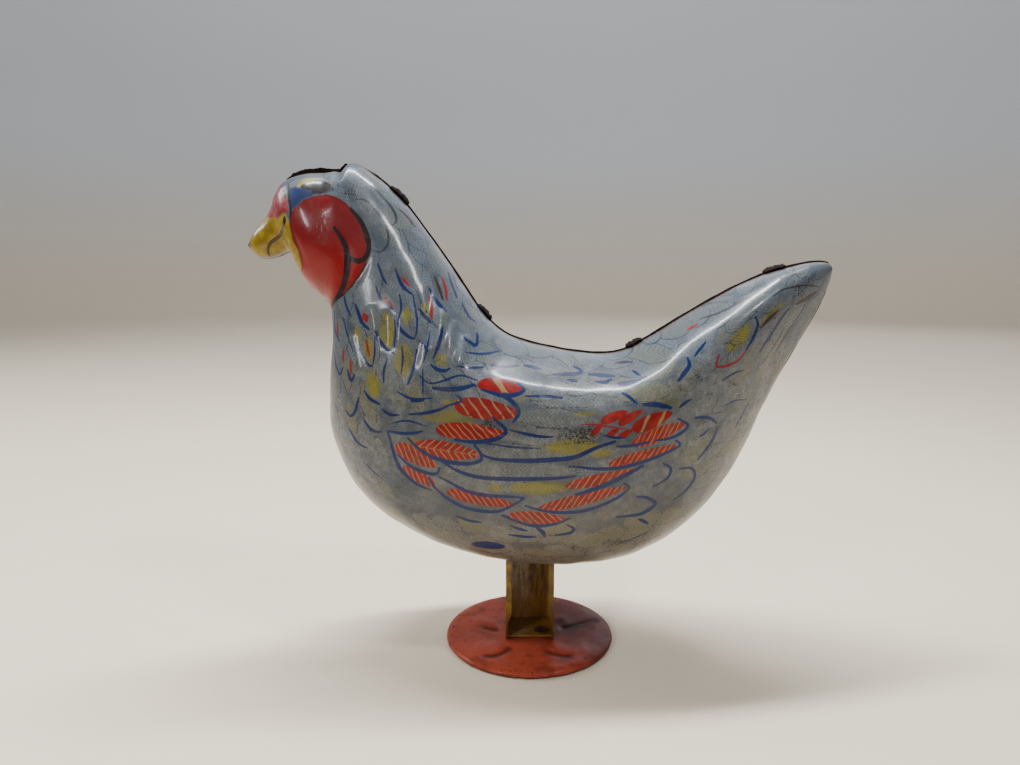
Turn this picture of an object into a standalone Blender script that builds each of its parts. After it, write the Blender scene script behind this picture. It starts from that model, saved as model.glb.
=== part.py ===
"""Press-down tin hen that lays toy eggs: a hollow two-part body that slides on one sprung leg.

Sizes below are in millimetres and turn into metres where a mesh is made. +Z is up, the head is
toward -X and the tail toward +X. The origin is under the middle of the overall length, on the
plane where the two pressed body halves meet, at the level the base stands on.
"""

import math

import bmesh
import bpy
import numpy as np
from mathutils import Vector

MM = 0.001
CLEAR = 0.3  # gap between neighbouring pieces

# Leg, base and stroke
LEG_X = -2.85
STROKE = 12.0
BASE_R = 25.9
LEG_HALF_X = 7.3
LEG_HALF_Y = 7.0
LEG_SHEET = 0.6
LEG_FOOT_Z = 2.35
LEG_TOP_Z = 57.0
LEG_LIP = 1.7

# Body shells
SHEET = 0.5
SEAM_GAP = 0.3
BACK_SEAM_OPEN = 0.7
ROWS_PER_STATION = 2
SECTION_STEPS = 18

# Egg path
CHUTE_TOP = (59.0, 78.0)
CHUTE_END = (24.6, 43.6)
CHUTE_HALF = 7.3
CHUTE_SHEET = 0.5
OUTLET_X = 17.3
OUTLET_R = 7.2
LOADING = (49.0, 77.0)
FEED_END_Y = 16.3  # where the feed tube's slanted end crosses its axis

# Return spring
SEAT_Z = 35.0
BRIDGE_Z = 71.6
SPRING_R = 4.6
SPRING_WIRE = 0.9
SPRING_TURNS = 8

# Gate lever: pivot, drive pin and swing
PIVOT = (23.0, 67.4)
DRIVE_X = 8.0
SWING = 2.0 * math.atan2(STROKE / 2.0, PIVOT[0] - DRIVE_X)

# Body stations from beak to tail: top seam x, z; bottom seam x, z; half width; body and tail weight.
STATIONS = [
    (-84.95, 121.0, -84.95, 121.0, 0.0, 0.0, 0.0),
    (-82.6, 125.2, -81.6, 117.6, 3.4, 0.0, 0.0),
    (-79.2, 128.8, -76.6, 117.6, 5.0, 0.0, 0.0),
    (-77.2, 132.2, -71.5, 119.2, 6.4, 0.0, 0.0),
    (-75.8, 135.8, -68.9, 114.0, 9.0, 0.0, 0.0),
    (-72.8, 139.2, -66.7, 109.4, 11.6, 0.0, 0.0),
    (-67.0, 141.3, -63.2, 106.0, 13.4, 0.0, 0.0),
    (-60.0, 141.6, -60.6, 103.4, 14.2, 0.0, 0.0),
    (-53.6, 144.2, -59.8, 99.6, 14.6, 0.0, 0.0),
    (-46.6, 140.2, -60.2, 93.0, 15.0, 0.05, 0.0),
    (-39.4, 133.6, -61.4, 84.6, 16.2, 0.15, 0.0),
    (-33.4, 125.8, -62.0, 76.0, 18.4, 0.3, 0.0),
    (-27.8, 118.0, -61.6, 67.2, 21.2, 0.5, 0.0),
    (-22.4, 109.8, -58.8, 58.6, 24.0, 0.7, 0.0),
    (-17.2, 102.2, -54.4, 50.4, 26.4, 0.85, 0.0),
    (-11.2, 96.4, -47.6, 43.4, 28.2, 1.0, 0.0),
    (-4.2, 93.4, -38.4, 37.2, 29.2, 1.0, 0.0),
    (3.4, 91.6, -27.4, 32.2, 29.7, 1.0, 0.0),
    (10.8, 90.3, -15.4, 28.8, 29.8, 1.0, 0.0),
    (18.0, 89.8, -2.4, 26.9, 29.5, 1.0, 0.0),
    (24.6, 90.8, 11.4, 26.6, 28.7, 0.95, 0.05),
    (31.2, 94.2, 25.0, 28.4, 27.2, 0.85, 0.15),
    (38.0, 98.4, 37.4, 33.6, 25.0, 0.7, 0.3),
    (45.2, 102.8, 48.0, 41.8, 22.2, 0.5, 0.5),
    (52.4, 106.9, 56.1, 52.0, 19.0, 0.3, 0.7),
    (59.6, 110.6, 62.0, 62.9, 15.4, 0.15, 0.85),
    (66.4, 113.4, 66.6, 74.0, 11.8, 0.0, 1.0),
    (72.6, 115.1, 71.6, 84.4, 8.6, 0.0, 1.0),
    (78.0, 116.2, 77.0, 94.4, 5.8, 0.0, 1.0),
    (82.0, 116.4, 81.6, 103.4, 3.6, 0.0, 1.0),
    (84.2, 115.6, 84.2, 110.0, 2.0, 0.0, 1.0),
    (84.95, 113.6, 84.95, 113.6, 0.0, 0.0, 1.0),
]

# Cross-section control points, top seam to bottom seam: share of the height, share of the half width.
HEAD_SECTION = [
    (0, 0), (0, 0.34), (0.12, 0.78), (0.36, 1.04), (0.66, 1.04), (0.90, 0.78), (1, 0.34), (1, 0),
]
BODY_SECTION = [
    (0, 0), (0, 0.28), (0.14, 0.78), (0.20, 0.96), (0.50, 1.04), (0.86, 0.88), (1, 0.40), (1, 0),
]
TAIL_SECTION = [
    (0, 0), (0, 0.46), (0.08, 0.90), (0.24, 1.08), (0.52, 0.78), (0.80, 0.44), (1, 0.20), (1, 0),
]


def material(name, colour, metallic, roughness):
    made = bpy.data.materials.new(name)
    made.use_nodes = True
    shader = made.node_tree.nodes["Principled BSDF"]
    shader.inputs["Base Color"].default_value = (*colour, 1.0)
    shader.inputs["Metallic"].default_value = metallic
    shader.inputs["Roughness"].default_value = roughness
    return made


def add_mesh(name, points, faces, look, origin=(0.0, 0.0, 0.0), smooth=False):
    """A mesh object from points in mm, its own origin on the given point in mm."""
    mesh = bpy.data.meshes.new(name)
    base = Vector(origin)
    mesh.from_pydata([(Vector(p) - base) * MM for p in points], [], faces)
    made = bpy.data.objects.new(name, mesh)
    made.location = base * MM
    bpy.context.scene.collection.objects.link(made)
    work = bmesh.new()
    work.from_mesh(mesh)
    bmesh.ops.recalc_face_normals(work, faces=work.faces)
    work.to_mesh(mesh)
    work.free()
    if look:
        mesh.materials.append(look)
    for polygon in mesh.polygons:
        polygon.use_smooth = smooth
    return made


def prism(name, outline, place, low, high, look, origin=(0.0, 0.0, 0.0)):
    """An outline of (a, b) pairs pushed from low to high; place turns (a, b, depth) into a point."""
    count = len(outline)
    points = [place(a, b, low) for a, b in outline] + [place(a, b, high) for a, b in outline]
    faces = [tuple(range(count)), tuple(range(count, 2 * count))]
    for i in range(count):
        j = (i + 1) % count
        faces.append((i, j, count + j, count + i))
    return add_mesh(name, points, faces, look, origin)


def flat_xy(a, b, depth):
    return (a, b, depth)


def flat_xz(a, b, depth):
    return (a, depth, b)


def flat_yz(a, b, depth):
    return (depth, a, b)


def block(name, low, high, look=None):
    corners = [(low[0], low[1]), (high[0], low[1]), (high[0], high[1]), (low[0], high[1])]
    return prism(name, corners, flat_xy, low[2], high[2], look)


def ring_points(centre, radius, steps):
    angles = [2.0 * math.pi * i / steps for i in range(steps)]
    return [(centre[0] + radius * math.cos(a), centre[1] + radius * math.sin(a)) for a in angles]


def turned(name, profile, centre, axis, steps, look):
    """A closed profile of (radius, height) turned about a line through centre, along axis X, Y or Z."""
    points = []
    for i in range(steps):
        angle = 2.0 * math.pi * i / steps
        for radius, height in profile:
            a = radius * math.cos(angle)
            b = radius * math.sin(angle)
            turn = {"X": (height, a, b), "Y": (a, height, b), "Z": (a, b, height)}[axis]
            points.append(tuple(centre[k] + turn[k] for k in range(3)))
    size = len(profile)
    faces = []
    for i in range(steps):
        j = (i + 1) % steps
        for k in range(size):
            m = (k + 1) % size
            faces.append((i * size + k, j * size + k, j * size + m, i * size + m))
    made = add_mesh(name, points, faces, look, smooth=True)
    work = bmesh.new()
    work.from_mesh(made.data)
    bmesh.ops.remove_doubles(work, verts=work.verts, dist=1e-6)
    bmesh.ops.dissolve_degenerate(work, edges=work.edges, dist=1e-7)
    bmesh.ops.recalc_face_normals(work, faces=work.faces)
    work.to_mesh(made.data)
    work.free()
    return made


def round_cutter(name, centre, axis, radius, low, high, steps=28):
    return turned(name, [(0, low), (radius, low), (radius, high), (0, high)], centre, axis, steps, None)


def boolean(target, tool, operation):
    change = target.modifiers.new(tool.name, "BOOLEAN")
    change.operation = operation
    change.solver = "EXACT"
    change.object = tool
    tool.hide_render = True
    tool.display_type = "WIRE"


# ---------------------------------------------------------------- body surface


def between_stations(t):
    """Catmull-Rom value of the station table at t, counted in stations."""
    last = len(STATIONS) - 1
    i = min(int(t), last - 1)
    s = t - i
    p0 = np.array(STATIONS[max(i - 1, 0)])
    p1 = np.array(STATIONS[i])
    p2 = np.array(STATIONS[i + 1])
    p3 = np.array(STATIONS[min(i + 2, last)])
    curve = 2 * p1 + (p2 - p0) * s + (2 * p0 - 5 * p1 + 4 * p2 - p3) * s * s
    return 0.5 * (curve + (3 * p1 - p0 - 3 * p2 + p3) * s**3)


def spline_weights(u, count=8, degree=3):
    """Clamped uniform B-spline basis at u, by the Cox-de Boor recursion."""
    knots = [0] * degree + list(range(count - degree + 1)) + [count - degree] * degree
    x = min(u, 1 - 1e-9) * (count - degree)
    basis = [1.0 if knots[i] <= x < knots[i + 1] else 0.0 for i in range(len(knots) - 1)]
    for d in range(1, degree + 1):
        for i in range(len(knots) - 1 - d):
            left = knots[i + d] - knots[i]
            right = knots[i + d + 1] - knots[i + 1]
            a = (x - knots[i]) / left * basis[i] if left else 0.0
            b = (knots[i + d + 1] - x) / right * basis[i + 1] if right else 0.0
            basis[i] = a + b
    return np.array(basis[:count])


def section_share(u, body, tail):
    weights = spline_weights(u)
    head = 1.0 - body - tail
    controls = (
        head * np.array(HEAD_SECTION, float)
        + body * np.array(BODY_SECTION, float)
        + tail * np.array(TAIL_SECTION, float)
    )
    return weights @ controls


def seam_half_gap(x):
    """Half the gap between the shells: the back seam has sprung a little open over the middle."""
    lift = math.exp(-(((x - 0.5) / 11.0) ** 2))
    return 0.5 * (SEAM_GAP + (BACK_SEAM_OPEN - SEAM_GAP) * lift)


def outer_point(t, u):
    """Point on the near shell's outside at station t, u from the top seam to the bottom seam."""
    tx, tz, bx, bz, width, body, tail = between_stations(t)
    share, bulge = section_share(u, body, tail)
    gap = seam_half_gap(tx) if u < 0.5 else 0.5 * SEAM_GAP
    x = tx + (bx - tx) * share
    z = tz + (bz - tz) * share
    return Vector((x, -(gap + width * bulge), z))


def outer_normal(t, u, last):
    step_t = 0.02
    step_u = 0.004
    t0, t1 = max(t - step_t, 0.02), min(t + step_t, last - 0.02)
    u0, u1 = max(u - step_u, 0.0), min(u + step_u, 1.0)
    along = outer_point(t1, u) - outer_point(t0, u)
    across = outer_point(t, u1) - outer_point(t, u0)
    normal = along.cross(across)
    if u in (0.0, 1.0):
        normal.y = 0.0
    return normal.normalized()


def shell(name, side, look):
    """One pressed half: outside and inside surfaces joined by the flat seam rim. side is -1 or 1."""
    last = len(STATIONS) - 1
    rows = [i / ROWS_PER_STATION for i in range(1, last * ROWS_PER_STATION)]
    steps = [i / SECTION_STEPS for i in range(SECTION_STEPS + 1)]
    turn = Vector((1, -side, 1))
    out_rows = [[outer_point(t, u) for u in steps] for t in rows]
    facing = 1.0
    if outer_normal(last / 2, 0.5, last).y > 0:
        facing = -1.0
    in_rows = []
    for t, row in zip(rows, out_rows):
        inner = [p - facing * SHEET * outer_normal(t, u, last) for p, u in zip(row, steps)]
        in_rows.append(inner)
    tips = [outer_point(0, 0), outer_point(last, 0)]
    inner_tips = [tips[0].lerp((in_rows[0][0] + in_rows[0][-1]) / 2, 0.6)]
    inner_tips.append(tips[1].lerp((in_rows[-1][0] + in_rows[-1][-1]) / 2, 0.6))
    flat = [p for row in out_rows for p in row] + [p for row in in_rows for p in row]
    points = [tuple(p[k] * turn[k] for k in range(3)) for p in flat + tips + inner_tips]
    wide = SECTION_STEPS + 1
    count = len(rows)
    inside = wide * count
    tip_out = [2 * inside, 2 * inside + 1]
    tip_in = [2 * inside + 2, 2 * inside + 3]
    faces = []
    for i in range(count - 1):
        for j in range(SECTION_STEPS):
            a = i * wide + j
            faces.append((a, a + 1, a + wide + 1, a + wide))
            faces.append((inside + a, inside + a + wide, inside + a + wide + 1, inside + a + 1))
        for j in (0, SECTION_STEPS):
            a = i * wide + j
            faces.append((a, a + wide, inside + a + wide, inside + a))
    for end, row in ((0, 0), (1, count - 1)):
        for j in range(SECTION_STEPS):
            a = row * wide + j
            faces.append((tip_out[end], a, a + 1))
            faces.append((tip_in[end], inside + a, inside + a + 1))
        for j in (0, SECTION_STEPS):
            a = row * wide + j
            faces.append((tip_out[end], a, inside + a, tip_in[end]))
    return add_mesh(name, points, faces, look, smooth=True)


def seam_tab(name, t, length):
    """Tongue of the far shell bent over the seam, riding just above the near shell."""
    middle = between_stations(t)
    ahead = between_stations(t + 0.2)
    along = Vector((ahead[0] - middle[0], 0, ahead[1] - middle[1])).normalized()
    up = Vector((-along.z, 0, along.x))
    seat = Vector((middle[0], 0, middle[1]))
    outline = [(-2.8, 0.3), (-2.8, 0.8), (2.2, 0.8), (2.2, -1.4), (0.9, -1.4), (0.9, 0.3)]

    def place(a, b, depth):
        return tuple(seat + along * depth + up * b + Vector((0, a, 0)))

    return prism(name, outline, place, -length / 2, length / 2, None)


def body_shells(looks):
    near = shell("shell_left", -1, looks["litho"])
    far = shell("shell_right", 1, looks["litho"])
    for i, (t, length) in enumerate(((9.8, 5.5), (14.1, 5.0), (21.3, 6.0), (27.0, 7.0))):
        boolean(far, seam_tab(f"seam_tab_{i + 1}", t, length), "UNION")
    leg_slot = block("leg_slot", (LEG_X - 8.5, -8.2, 18), (LEG_X + 8.5, 8.2, 36))
    comb_slot = block("comb_slot", (-73.4, -0.75, 136.5), (-55.4, 0.75, 150))
    outlet = round_cutter("outlet_hole", (OUTLET_X, 0, 0), "Z", OUTLET_R + 0.9, 18, 36)
    for half in (near, far):
        boolean(half, leg_slot, "DIFFERENCE")
        boolean(half, comb_slot, "DIFFERENCE")
        boolean(half, outlet, "DIFFERENCE")
    loading = round_cutter("loading_hole", (LOADING[0], 0, LOADING[1]), "Y", OUTLET_R + 0.9, 4, 40)
    boolean(far, loading, "DIFFERENCE")
    outline = [
        (-73.0, 137.0), (-55.8, 137.0), (-55.8, 143.8), (-56.4, 144.2),
        (-57.8, 142.2), (-62.0, 142.3), (-68.0, 141.9), (-73.0, 139.6),
    ]
    prism("comb_root", outline, flat_xz, -0.4, 0.4, looks["rust"])


# ---------------------------------------------------------------- base and leg


def base_disc(looks):
    """Pressed foot disc: rolled rim with a flat underside, shallow dome, open below."""
    r = BASE_R
    profile = [
        (0.0, 2.0), (10.0, 2.0), (19.0, 2.15), (22.5, 2.4), (24.4, 2.3), (r - 0.5, 1.8), (r, 1.0),
        (r - 0.3, 0.3), (r - 0.8, 0.0), (r - 2.0, 0.0), (r - 2.4, 0.5), (r - 2.2, 1.1),
        (22.0, 1.6), (19.0, 1.45), (10.0, 1.3), (0.0, 1.3),
    ]
    disc = turned("base_disc", profile, (LEG_X, 0, 0), "Z", 56, looks["lacquer"])
    for side in (-1, 1):
        x = LEG_X + side * (LEG_HALF_X - LEG_SHEET / 2)
        slot = block(f"tongue_slot_{side}", (x - 0.65, -2.4, 0.2), (x + 0.65, 2.4, 6))
        boolean(disc, slot, "DIFFERENCE")
    eyelet_hole = round_cutter("eyelet_hole", (LEG_X + 3.6, -3.2, 0), "Z", 1.5, 0.5, 6, 16)
    boolean(disc, eyelet_hole, "DIFFERENCE")


def leg_channel(looks):
    """Lipped channel, open toward -Y, with two bent tongues below and a forked lug for the gate."""
    x, y, s, lip = LEG_HALF_X, LEG_HALF_Y, LEG_SHEET, LEG_LIP
    outline = [
        (-x, -y), (-x + lip, -y), (-x + lip, -y + s), (-x + s, -y + s), (-x + s, y - s), (x - s, y - s),
        (x - s, -y + s), (x - lip, -y + s), (x - lip, -y), (x, -y), (x, y), (-x, y),
    ]
    outline = [(LEG_X + a, b) for a, b in outline]
    leg = prism("leg_channel", outline, flat_xy, LEG_FOOT_Z, LEG_TOP_Z, looks["leg"])
    for side in (-1, 1):
        inner = LEG_X + side * (x - s - 0.05)
        edge = LEG_X + side * (x - lip - 0.6)
        taper = [(inner, LEG_FOOT_Z - 1), (inner, 7.5), (edge, 12.0), (edge, LEG_FOOT_Z - 1)]
        cutter = prism(f"lip_taper_{side}", taper, flat_xz, -y - 1, -y + s + 0.05, None)
        boolean(leg, cutter, "DIFFERENCE")
        wall = LEG_X + side * (x - s / 2)
        tongue = [
            (wall - 0.3, LEG_FOOT_Z + 0.5), (wall - 0.3, 0.95), (wall - 2.9, 0.95), (wall - 2.9, 0.4),
            (wall + 0.3, 0.4), (wall + 0.3, LEG_FOOT_Z + 0.5),
        ]
        boolean(leg, prism(f"tongue_{side}", tongue, flat_xz, -2.0, 2.0, None), "UNION")
    ledge_low = (LEG_X - x + 0.1, -y + 1.6, LEG_FOOT_Z)
    ledge_high = (LEG_X + x - 0.1, y - 0.1, LEG_FOOT_Z + 0.6)
    ledge = block("foot_ledge", ledge_low, ledge_high)
    boolean(leg, ledge, "UNION")
    hole = round_cutter("ledge_hole", (LEG_X + 3.6, -3.2, 0), "Z", 1.5, 2, 6, 16)
    boolean(leg, hole, "DIFFERENCE")
    pin_z = PIVOT[1] - STROKE / 2
    wall = LEG_X + x
    lug = block("drive_lug", (wall - s, -3.2, LEG_TOP_Z - 2), (wall, 3.2, pin_z + 2.2))
    boolean(leg, lug, "UNION")
    for side in (-1, 1):
        low, high = sorted((side * 2.6, side * 3.2))
        ear = block(f"drive_ear_{side}", (wall - s, low, pin_z - 3), (DRIVE_X + 1.7, high, pin_z + 2.2))
        boolean(leg, ear, "UNION")
    bore = round_cutter("drive_bore", (DRIVE_X, 0, pin_z), "Y", 1.1, -5, 5, 14)
    boolean(leg, bore, "DIFFERENCE")
    pin = [(0, -3.9), (0.8, -3.9), (0.8, 3.9), (0, 3.9)]
    turned("drive_pin", pin, (DRIVE_X, 0, pin_z), "Y", 12, looks["steel"])


def foot_eyelet(looks):
    profile = [
        (0.6, 0.5), (1.2, 0.5), (1.2, LEG_FOOT_Z + 0.9), (2.2, LEG_FOOT_Z + 0.9),
        (2.2, LEG_FOOT_Z + 1.3), (1.2, LEG_FOOT_Z + 1.5), (0.6, LEG_FOOT_Z + 1.3),
    ]
    turned("foot_eyelet", profile, (LEG_X + 3.6, -3.2, 0), "Z", 20, looks["steel"])


def spring_parts(looks):
    """Seat plate in the channel, guide rod with its stop clip, helical return spring."""
    a = LEG_HALF_X - LEG_SHEET - CLEAR
    b = LEG_HALF_Y - LEG_SHEET - CLEAR
    corners = [(LEG_X - a, -b), (LEG_X + a, -b), (LEG_X + a, b), (LEG_X - a, b)]
    seat = prism("spring_seat", corners, flat_xy, SEAT_Z - 0.8, SEAT_Z, looks["steel"])
    seat_hole = round_cutter("seat_hole", (LEG_X, 0, 0), "Z", 1.5, SEAT_Z - 3, SEAT_Z + 3, 16)
    boolean(seat, seat_hole, "DIFFERENCE")
    rod = [
        (0, SEAT_Z - 2.0), (2.4, SEAT_Z - 2.0), (2.4, SEAT_Z - 1.1), (1.15, SEAT_Z - 1.1),
        (1.15, BRIDGE_Z + 4.2), (0.8, BRIDGE_Z + 4.6), (0, BRIDGE_Z + 4.6),
    ]
    turned("guide_rod", rod, (LEG_X, 0, 0), "Z", 16, looks["steel"])
    low = BRIDGE_Z + 1.3
    clip = [(1.45, low), (3.6, low), (3.6, low + 0.8), (1.45, low + 0.8)]
    turned("stop_clip", clip, (LEG_X, 0, 0), "Z", 20, looks["steel"])
    helix(looks["steel"])


def helix(look):
    low = SEAT_Z + CLEAR + SPRING_WIRE / 2
    high = BRIDGE_Z - CLEAR - SPRING_WIRE / 2
    steps = SPRING_TURNS * 14
    sides = 6
    radius = SPRING_R - SPRING_WIRE / 2
    points = []
    for i in range(steps + 1):
        s = i / steps
        angle = 2 * math.pi * SPRING_TURNS * s
        rise = (high - low) * (s - 0.9 * math.sin(2 * math.pi * s) / (2 * math.pi))
        centre = Vector((LEG_X + radius * math.cos(angle), radius * math.sin(angle), low + rise))
        outward = Vector((math.cos(angle), math.sin(angle), 0))
        for k in range(sides):
            a = 2 * math.pi * k / sides
            spoke = math.cos(a) * outward + Vector((0, 0, math.sin(a)))
            points.append(tuple(centre + SPRING_WIRE / 2 * spoke))
    faces = [tuple(range(sides)), tuple(steps * sides + k for k in range(sides))]
    for i in range(steps):
        for k in range(sides):
            m = (k + 1) % sides
            faces.append((i * sides + k, i * sides + m, (i + 1) * sides + m, (i + 1) * sides + k))
    add_mesh("return_spring", points, faces, look, smooth=True)


# ---------------------------------------------------------------- inside the body


def bridge_and_guide(looks):
    """Spring bridge across the body and the sleeve that keeps the body square on the leg."""
    top, low, reach = BRIDGE_Z + 0.8, BRIDGE_Z, 27.0
    outline = [
        (-reach, low - 6), (-reach + 0.8, low - 6), (-reach + 0.8, low), (reach - 0.8, low),
        (reach - 0.8, low - 6), (reach, low - 6), (reach, top), (-reach, top),
    ]
    bridge = prism("spring_bridge", outline, flat_yz, LEG_X - 4, LEG_X + 4, looks["steel"])
    bridge_hole = round_cutter("bridge_hole", (LEG_X, 0, 0), "Z", 1.6, low - 3, top + 3, 16)
    boolean(bridge, bridge_hole, "DIFFERENCE")
    a, b = LEG_HALF_X + CLEAR, LEG_HALF_Y + CLEAR
    sleeve_low = (LEG_X - a - 0.6, -b - 0.6, 29.2)
    sleeve_high = (LEG_X + a + 0.6, b + 0.6, 38.2)
    sleeve = block("leg_guide", sleeve_low, sleeve_high, looks["steel"])
    wing = block("guide_wing", (LEG_X - 6, -20.5, 37.4), (LEG_X + 6, 20.5, 38.2))
    boolean(sleeve, wing, "UNION")
    boolean(sleeve, block("guide_bore", (LEG_X - a, -b, 20), (LEG_X + a, b, 44)), "DIFFERENCE")


def along_chute(distance, height):
    """Point in XZ at a distance down the chute floor and a height square to it."""
    run = Vector((CHUTE_END[0] - CHUTE_TOP[0], CHUTE_END[1] - CHUTE_TOP[1]))
    down = run.normalized()
    up = Vector((down.y, -down.x))
    if up.y < 0:
        up = -up
    point = Vector(CHUTE_TOP) + down * distance + up * height
    return (point.x, point.y)


def egg_path(looks):
    length = math.dist(CHUTE_TOP, CHUTE_END)
    pivot_along = 33.0
    corners = [
        (0, -CHUTE_SHEET), (0, 9), (16, 9), (pivot_along - 5, 9), (pivot_along - 2.5, 20.6),
        (pivot_along + 2.5, 20.6), (pivot_along + 5, 9), (length, 7), (length, -CHUTE_SHEET),
    ]
    side = [along_chute(distance, height) for distance, height in corners]
    wide = CHUTE_HALF + CHUTE_SHEET
    chute = prism("egg_chute", side, flat_xz, -wide, wide, looks["steel"])
    corners = [(CHUTE_SHEET, 0), (CHUTE_SHEET, 24), (length + 5, 24), (length + 5, 0)]
    hollow = [along_chute(distance, height) for distance, height in corners]
    boolean(chute, prism("chute_hollow", hollow, flat_xz, -CHUTE_HALF, CHUTE_HALF, None), "DIFFERENCE")
    corners = [(1.2, 0.6), (1.2, 12), (15, 12), (15, 0.6)]
    door = [along_chute(distance, height) for distance, height in corners]
    boolean(chute, prism("chute_door", door, flat_xz, CHUTE_HALF - 1, wide + 1, None), "DIFFERENCE")
    pivot_bore = round_cutter("pivot_bore", (PIVOT[0], 0, PIVOT[1]), "Y", 1.2, -12, 12, 14)
    boolean(chute, pivot_bore, "DIFFERENCE")
    tube_low, tube_high = 28.2, 38.5
    r = OUTLET_R
    tube = [(r, tube_low), (r + 0.55, tube_low), (r + 0.55, tube_high), (r, tube_high)]
    turned("outlet_tube", tube, (OUTLET_X, 0, 0), "Z", 32, looks["steel"])
    feed = [(r, 8.2), (r + 0.55, 8.2), (r + 0.55, 26), (r, 26)]
    feed_tube = turned("feed_tube", feed, (LOADING[0], 0, LOADING[1]), "Y", 28, looks["steel"])
    x = LOADING[0]
    beyond = [(x - 20, FEED_END_Y + 12.4), (x + 20, FEED_END_Y - 12.4), (x + 20, 40), (x - 20, 40)]
    boolean(feed_tube, prism("feed_trim", beyond, flat_xy, 50, 100, None), "DIFFERENCE")
    front = OUTLET_X - r - 0.9
    block("egg_deflector", (front - 0.6, -CHUTE_HALF, 39.0), (front, CHUTE_HALF, 53.0), looks["steel"])


def gate(looks):
    """Escapement: pressing the body swings the lever; one finger drops an egg, the other holds the next."""
    px, pz = PIVOT
    pin_z = pz - STROKE / 2
    arm = Vector((DRIVE_X - px, pin_z - pz))
    reach = arm.length
    down = arm.normalized()
    side = Vector((-down.y, down.x))
    mid = Vector((CHUTE_END[0] - CHUTE_TOP[0], CHUTE_END[1] - CHUTE_TOP[1])).normalized()
    up = Vector((-0.707, 0.707))
    turn = -SWING / 2

    def rest(along, height):
        """Lever outline point given square to the chute at mid stroke, turned back to rest."""
        v = mid * along + up * height
        x = v.x * math.cos(turn) + v.y * math.sin(turn)
        z = -v.x * math.sin(turn) + v.y * math.cos(turn)
        return (px + x, pz + z)

    def on_arm(distance, offset):
        v = down * distance + side * offset
        return (px + v.x, pz + v.y)

    outline = [
        on_arm(reach + 1.8, -1.8), on_arm(reach + 1.8, 1.8), on_arm(3.0, 1.9), rest(5.6, -2.0),
        rest(8.6, -8.0), rest(7.2, -8.2), rest(3.4, -3.4), rest(-3.4, -3.4), rest(-7.2, -8.2),
        rest(-8.6, -8.0), rest(-5.6, -2.0), rest(-2.6, 2.6), on_arm(1.0, -2.6),
    ]
    lever = prism("gate_lever", outline, flat_xz, -0.5, 0.5, looks["brass"], origin=(px, 0, pz))
    boolean(lever, round_cutter("lever_bore", (px, 0, pz), "Y", 1.2, -3, 3, 14), "DIFFERENCE")
    near, far = reach - 2.4, reach + 1.15
    slot = [on_arm(near, -1.15), on_arm(far, -1.15), on_arm(far, 1.15), on_arm(near, 1.15)]
    boolean(lever, prism("lever_slot", slot, flat_xz, -3, 3, None), "DIFFERENCE")
    pin = [(0, -9.4), (0.9, -9.4), (0.9, 9.4), (0, 9.4)]
    turned("gate_pivot_pin", pin, (px, 0, pz), "Y", 12, looks["steel"])
    for side_y, name in ((-1, "gate_spacer_left"), (1, "gate_spacer_right")):
        low, high = sorted((side_y * 0.8, side_y * 7.0))
        ring = [(1.2, low), (2.0, low), (2.0, high), (1.2, high)]
        turned(name, ring, (px, 0, pz), "Y", 14, looks["brass"])


def build():
    for old in list(bpy.data.objects):
        bpy.data.objects.remove(old, do_unlink=True)
    looks = {
        "litho": material("litho_tin", (0.72, 0.78, 0.78), 0.1, 0.3),
        "rust": material("rusted_edge", (0.12, 0.06, 0.04), 0.4, 0.8),
        "lacquer": material("red_lacquer", (0.55, 0.09, 0.04), 0.1, 0.3),
        "leg": material("yellow_leg", (0.45, 0.28, 0.05), 0.3, 0.5),
        "steel": material("bright_steel", (0.45, 0.43, 0.40), 1.0, 0.4),
        "brass": material("gate_steel", (0.40, 0.36, 0.28), 1.0, 0.45),
    }
    body_shells(looks)
    base_disc(looks)
    leg_channel(looks)
    foot_eyelet(looks)
    spring_parts(looks)
    bridge_and_guide(looks)
    egg_path(looks)
    gate(looks)


build()
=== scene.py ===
"""Looks for the press-down tin hen: printed shells with pressed relief, painted foot, worn metal.

Lengths are in millimetres in the tables and metres in Blender. The printed artwork is a set of ink
strokes, feathers and patches placed by x and z on the body's side, the same on both sides.
"""

import math

import bpy
import numpy as np
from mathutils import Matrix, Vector


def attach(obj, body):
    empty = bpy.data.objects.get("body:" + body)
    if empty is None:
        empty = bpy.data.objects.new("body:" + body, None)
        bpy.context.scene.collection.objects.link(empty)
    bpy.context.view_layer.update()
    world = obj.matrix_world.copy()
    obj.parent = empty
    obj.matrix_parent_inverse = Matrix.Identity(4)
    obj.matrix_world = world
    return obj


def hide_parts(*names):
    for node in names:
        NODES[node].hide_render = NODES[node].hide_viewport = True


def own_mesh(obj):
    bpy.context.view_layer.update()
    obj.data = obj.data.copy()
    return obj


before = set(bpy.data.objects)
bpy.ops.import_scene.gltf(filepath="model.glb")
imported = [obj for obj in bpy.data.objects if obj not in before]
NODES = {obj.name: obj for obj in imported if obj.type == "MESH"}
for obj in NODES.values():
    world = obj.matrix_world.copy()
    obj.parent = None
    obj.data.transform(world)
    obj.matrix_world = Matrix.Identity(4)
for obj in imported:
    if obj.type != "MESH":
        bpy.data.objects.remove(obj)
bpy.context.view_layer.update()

MM = 0.001
FINE = 0.36  # spacing of the printed skin's points
PLAIN = 1.1  # spacing of the inner skin's points
SHEET = 0.5
SHELL_TOP = 144.18  # just under the top of the CAD
LEG_X = -2.85
OUTLET = (17.3, 8.1)  # x and radius
LOADING = (49.0, 77.0, 8.1)  # x, z and radius
INK_REACH = 1.5  # distances stored for the ink stop here
LINE_STEP = 0.7  # longest straight piece of a drawn line
BEAD_SIDES = 8
COMB_FOOT = 137.2
COMB_TOP = 144.1
COMB_STEPS = 90
DISC_TURNS = 240
FLOOR_TURNS = 96

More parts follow.
